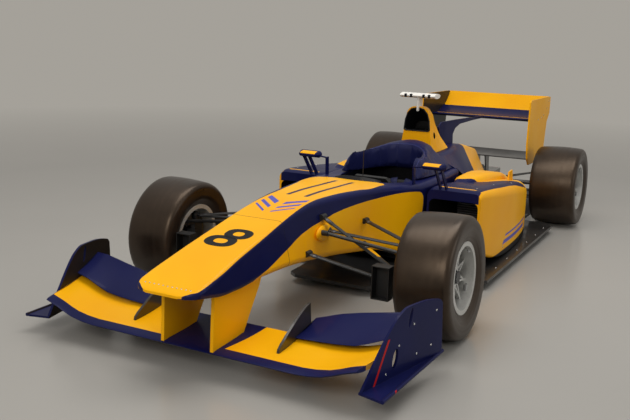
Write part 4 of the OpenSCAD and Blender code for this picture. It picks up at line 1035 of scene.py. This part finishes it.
fairing = {"at": (1.372, 0.184, 0.462), "half": 0.105, "tall": 0.044, "proud": 0.021, "flare": 0.01,
           "climb": 0.004, "blunt": 0.6, "back": -0.6}


def makeFairings():  # over the upper pick-ups
    shape = newShape()
    atX, atY, atZ = fairing["at"]
    for sign in (1, -1):
        rings = []
        for k in range(17):
            share = 2 * k / 16 - 1
            swelling = max(0.03, (1 - share * share) ** fairing["blunt"])
            out, rise = fairing["proud"] * swelling, fairing["tall"] * swelling
            rings.append([(atX + fairing["half"] * share,
                           sign * (atY + fairing["flare"] * share + out * max(fairing["back"], c)),
                           atZ + fairing["climb"] * share + rise * s) for c, s in circle(24)])
        addRings(shape, rings)
    finishShape(shape, "pickup_fairings", yellowPlain, limit=60.0)


# Dark bezel round the mouth of the air intake

bezel = {"x": -0.36, "middle": 0.892, "steps": 8,
         "half": [(0.0, 0.968), (0.016, 0.968), (0.044, 0.9605), (0.07, 0.931), (0.084, 0.887), (0.09, 0.826),
                  (0.08, 0.816), (0.0, 0.816)],
         "section": ((1.075, -0.002), (1.075, 0.003), (1.03, 0.005), (0.985, 0.003), (0.985, -0.016))}


def makeBezel():
    corners = bezel["half"] + [(-y, z) for y, z in reversed(bezel["half"][1:-1])]
    rows = []
    for (y, z), (nextY, nextZ) in zip(corners, corners[1:] + corners[:1]):
        for step in range(bezel["steps"]):
            share = step / bezel["steps"]
            ringY, ringZ = y + (nextY - y) * share, z + (nextZ - z) * share - bezel["middle"]
            rows.append([(bezel["x"] + x, ringY * size, bezel["middle"] + ringZ * size)
                         for size, x in bezel["section"]])
    shape = newShape()
    addGrid(shape, rows, along=True)
    finishShape(shape, "intake_bezel", smoked)


# Wheels: valves and balance weights, calipers at the front

wheelKit = {"rim": 0.157, "frontHalf": 0.12, "rearHalf": 0.155, "valveAt": 118.0, "valveIn": 0.022,
            "valveSunk": 0.001, "valveLean": 0.8,
            "valve": ((0.0055, -0.002), (0.0055, 0.008), (0.0035, 0.009), (0.0035, 0.024), (0.0045, 0.025),
                      (0.0045, 0.033), (0.0, 0.034)),
            "weights": (40.0, 205.0), "weightStep": 2.4, "weightIn": 0.03,
            "weight": ((-0.0005, 0.0), (0.0035, 0.001), (0.0035, 0.017), (-0.0005, 0.018))}


def wheelPoint(corner, radius, degrees, depth):  # place round a wheel's axle and along it, outward
    centre, lean = wheelFrames[corner]
    left = centre[1] > 0
    tilt, turn = math.radians(abs(lean)), math.radians(degrees)
    out = Vector((0.0, math.cos(tilt) * (1 if left else -1), math.sin(tilt)))
    ahead = Vector((1.0, 0.0, 0.0))
    rise = ahead.cross(out) if left else out.cross(ahead)
    return Vector(centre) + out * depth + (ahead * math.cos(turn) + rise * math.sin(turn)) * radius


def makeWheelKit():
    rim = wheelKit["rim"]
    for corner in wheelFrames:
        half = wheelKit["frontHalf"] if corner.startswith("front") else wheelKit["rearHalf"]
        depth = half - wheelKit["valveIn"]
        base, hub = [wheelPoint(corner, radius, wheelKit["valveAt"], depth)
                     for radius in (rim - wheelKit["valveSunk"], 0.0)]
        out = wheelPoint(corner, 0.0, 0.0, depth + 1.0) - hub
        kit = newShape()
        addLathe(kit, base, (hub - base).normalized() + out * wheelKit["valveLean"], wheelKit["valve"], 12)
        for start in wheelKit["weights"]:
            angles = [start + wheelKit["weightStep"] * k for k in range(7)]
            addRings(kit, [[wheelPoint(corner, rim - deep, angle, half - wheelKit["weightIn"] - across)
                            for deep, across in wheelKit["weight"]] for angle in angles])
        finishShape(kit, "wheel_kit_" + corner, brightSteel, "wheel_" + corner)


caliper = {"from": 150.0, "to": 212.0, "inner": 0.1, "outer": 0.149, "bridge": 0.1425, "back": -0.06,
           "front": 0.006, "discBack": -0.0425, "discFront": -0.0095, "shoulder": (0.01, 0.008), "bulge": 0.004}


def makeCalipers():
    inner, outer, bridge = caliper["inner"], caliper["outer"], caliper["bridge"]
    back, front, discBack, discFront = [caliper[key] for key in ("back", "front", "discBack", "discFront")]
    lower, cut = caliper["shoulder"]
    for corner in ("front_left", "front_right"):
        rows = []
        for k in range(15):
            angle = caliper["from"] + (caliper["to"] - caliper["from"]) * k / 14
            bulge = caliper["bulge"] * math.sin(math.pi * k / 14)
            rows.append([wheelPoint(corner, radius, angle, depth) for radius, depth in (
                (inner, back), (inner, discBack), (bridge, discBack), (bridge, discFront), (inner, discFront),
                (inner, front), (outer - lower, front + bulge), (outer, front - cut), (outer, back + cut),
                (outer - lower, back - bulge))])
        shape = newShape()
        addRings(shape, rows)
        finishShape(shape, "caliper_" + corner, caliperGold, "knuckle_" + corner)


# Mirror glass and camera lenses

glass = {"mirror": (0.4035, 0.414, 0.702), "half": 0.066, "tall": 0.0165, "power": 5.0, "deep": 0.0125,
         "lensX": -0.3375, "bezelX": -0.3395, "lensY": (0.045, 0.085), "lensZ": 1.054,
         "lens": ((0.0095, 0.0), (0.0095, 0.004), (0.007125, 0.0062), (0.0, 0.0068)),
         "bezel": ((0.0125, 0.0), (0.0125, 0.005), (0.0105, 0.006), (0.0095, 0.005), (0.0095, 0.0))}


def makeGlass():
    mirrors, lenses, bezels = newShape(), newShape(), newShape()
    mirrorX, mirrorY, mirrorZ = glass["mirror"]
    for sign in (1, -1):
        addSlab(mirrors, [(mirrorX, sign * mirrorY + glass["half"] * c, mirrorZ + glass["tall"] * s)
                          for c, s in squircle(40, glass["power"])], (-glass["deep"], 0.0, 0.0))
        for y in glass["lensY"]:
            addLathe(lenses, (glass["lensX"], sign * y, glass["lensZ"]), (1, 0, 0), glass["lens"], 20)
            addLathe(bezels, (glass["bezelX"], sign * y, glass["lensZ"]), (1, 0, 0), glass["bezel"], 20)
    finishShape(mirrors, "mirror_glass", silverGlass)
    finishShape(lenses, "camera_lenses", lensBlack)
    finishShape(bezels, "camera_bezels", satinBlack)


decalBlack = plainPaint("decal_black", ((0.007, 0.007, 0.008), (0.01, 0.01, 0.011)))
darkSteel = metalFinish("dark_steel", ((0.06, 0.06, 0.065), (0.1, 0.1, 0.105)), 0.36)
webbing = leatherette("harness_web", ((0.012, 0.014, 0.055), (0.02, 0.024, 0.085)), 0.6)
padPiping = leatherette("pad_piping", ((0.02, 0.025, 0.11), (0.028, 0.034, 0.14)), 0.34)
suede = leatherette("grip_suede", ((0.012, 0.012, 0.013), (0.024, 0.024, 0.025)), 0.75)
smoked = plainPaint("smoked_screen", ((0.012, 0.012, 0.014), (0.018, 0.018, 0.02)))
screen = plainPaint("display_glass", ((0.012, 0.02, 0.018), (0.016, 0.028, 0.024)))
silverGlass = metalFinish("mirror_silver", ((0.78, 0.79, 0.8), (0.8, 0.81, 0.82)), 0.12, bump=0.0)
lensBlack = plainPaint("lens_black", ((0.004, 0.004, 0.006), (0.006, 0.006, 0.01)))
caliperGold = metalFinish("caliper_anodised", ((0.15, 0.11, 0.055), (0.2, 0.15, 0.075)), 0.35)
buttonFinishes = {}
for name, colour in (("red", (0.55, 0.02, 0.02)), ("green", (0.02, 0.32, 0.08)), ("blue", (0.03, 0.1, 0.5)),
                     ("yellow", (0.8, 0.5, 0.02)), ("white", (0.7, 0.7, 0.68))):
    buttonFinishes[name] = plainPaint("button_" + name, (colour, tuple(c * 0.85 for c in colour)))

makeNumeral()
makeFasteners("panel_fasteners", brightSteel)
makeFasteners("hull_plugs", decalBlack)
print("number and fasteners laid on")
makePiping(makeHeadrest())
makeHarness(makeSeat())
print("pads and harness made")
makeCockpitFront()
makeHelm()
makeLegFittings()
makeFairings()
makeBezel()
makeWheelKit()
makeCalipers()
makeGlass()
print("cockpit, suspension and wheel fittings made")


# Floor, light and camera

studio = {"floorSize": 60.0, "floor": (0.345, 0.336, 0.318), "paler": 1.06, "gloss": 0.24, "bump": (0.02, 0.001),
          "far": (0.375, 0.355, 0.32), "zenith": (0.54, 0.53, 0.51), "fade": (4.5, 11.0), "sky": (0.12, 0.85)}
lights = {  # place, aim, size, power and colour
    "ceiling_panel": ((0.4, 0.4, 4.6), (0.2, 0.2, 0.0), (5.0, 2.4), 132, (1.0, 0.97, 0.93)),
    "window_front": ((6.5, 0.8, 3.4), (0.8, 0.0, 0.4), (3.0, 2.0), 100, (1.0, 0.95, 0.88)),
    "window_left": ((0.0, 6.5, 2.6), (0.0, 0.0, 0.4), (5.0, 2.0), 45, (0.93, 0.96, 1.0)),
}


def layFloor():
    half = studio["floorSize"] / 2
    mesh = bpy.data.meshes.new("floor_sheet")
    mesh.from_pydata([(-half, -half, 0), (half, -half, 0), (half, half, 0), (-half, half, 0)], [], [(0, 1, 2, 3)])
    ground = bpy.data.objects.new("floor_sheet", mesh)
    scene.collection.objects.link(ground)
    material, tree, shader = newFinish("pale_floor", Roughness=studio["gloss"])
    where = coordinate(tree)
    x, y, z = place(tree)
    paler = tuple(c * studio["paler"] for c in studio["floor"])
    wireUp(shader, Base_Color=blend(noiseOf(where, 1.3, 4.0), studio["floor"], paler))
    bumpInto(shader, noiseOf(where, 90.0), *studio["bump"])
    glow = addNode(tree, "Emission", Color=studio["far"])  # far floor melts into the background
    fade = tree.nodes.new("ShaderNodeMixShader")
    distance = (x * x + y * y).calc("SQRT")
    plug(fade.inputs[0], rescale(distance, *studio["fade"]))
    plug(fade.inputs[1], Wire(shader.outputs[0]))
    plug(fade.inputs[2], Wire(glow.outputs[0]))
    tree.links.new(fade.outputs[0], tree.nodes["Material Output"].inputs["Surface"])
    mesh.materials.append(material)


def lightStudio():
    scene.world = bpy.data.worlds.new("studio_air")
    scene.world.use_nodes = True
    tree = scene.world.node_tree
    height = partsOf(coordinate(tree, "Generated"))[2]  # how far up a ray looks
    wireUp(tree.nodes["Background"], Color=blend(rescale(height, *studio["sky"]), studio["far"], studio["zenith"]))
    for name, (at, towards, size, power, colour) in lights.items():
        source = bpy.data.lights.new(name, "AREA")
        source.shape = "RECTANGLE"
        source.size, source.size_y = size
        source.energy = power
        source.color = colour
        holder = bpy.data.objects.new(name, source)
        holder.location = at
        holder.rotation_euler = (Vector(towards) - Vector(at)).to_track_quat("-Z", "Y").to_euler()
        scene.collection.objects.link(holder)


view = {"yaw": 3.6207, "pitch": 0.2104, "roll": 0.0317, "at": (5.0572, 2.0426, 1.458), "focal": 832.84,
        "frameWide": 630.0, "sensor": 36.0}


def setCamera():
    lens = bpy.data.cameras.new("photo_view")
    lens.sensor_width = view["sensor"]
    lens.lens = view["focal"] / view["frameWide"] * view["sensor"]
    holder = bpy.data.objects.new("photo_view", lens)
    holder.matrix_world = (Matrix.Translation(view["at"]) @ Matrix.Rotation(view["yaw"] - math.pi / 2, 4, "Z")
                           @ Matrix.Rotation(math.pi / 2 - view["pitch"], 4, "X")
                           @ Matrix.Rotation(view["roll"], 4, "Z"))
    scene.collection.objects.link(holder)
    scene.camera = holder


layFloor()
lightStudio()
setCamera()
scene.view_settings.view_transform = "Standard"
print("floor, light and camera set")

bpy.context.view_layer.update()
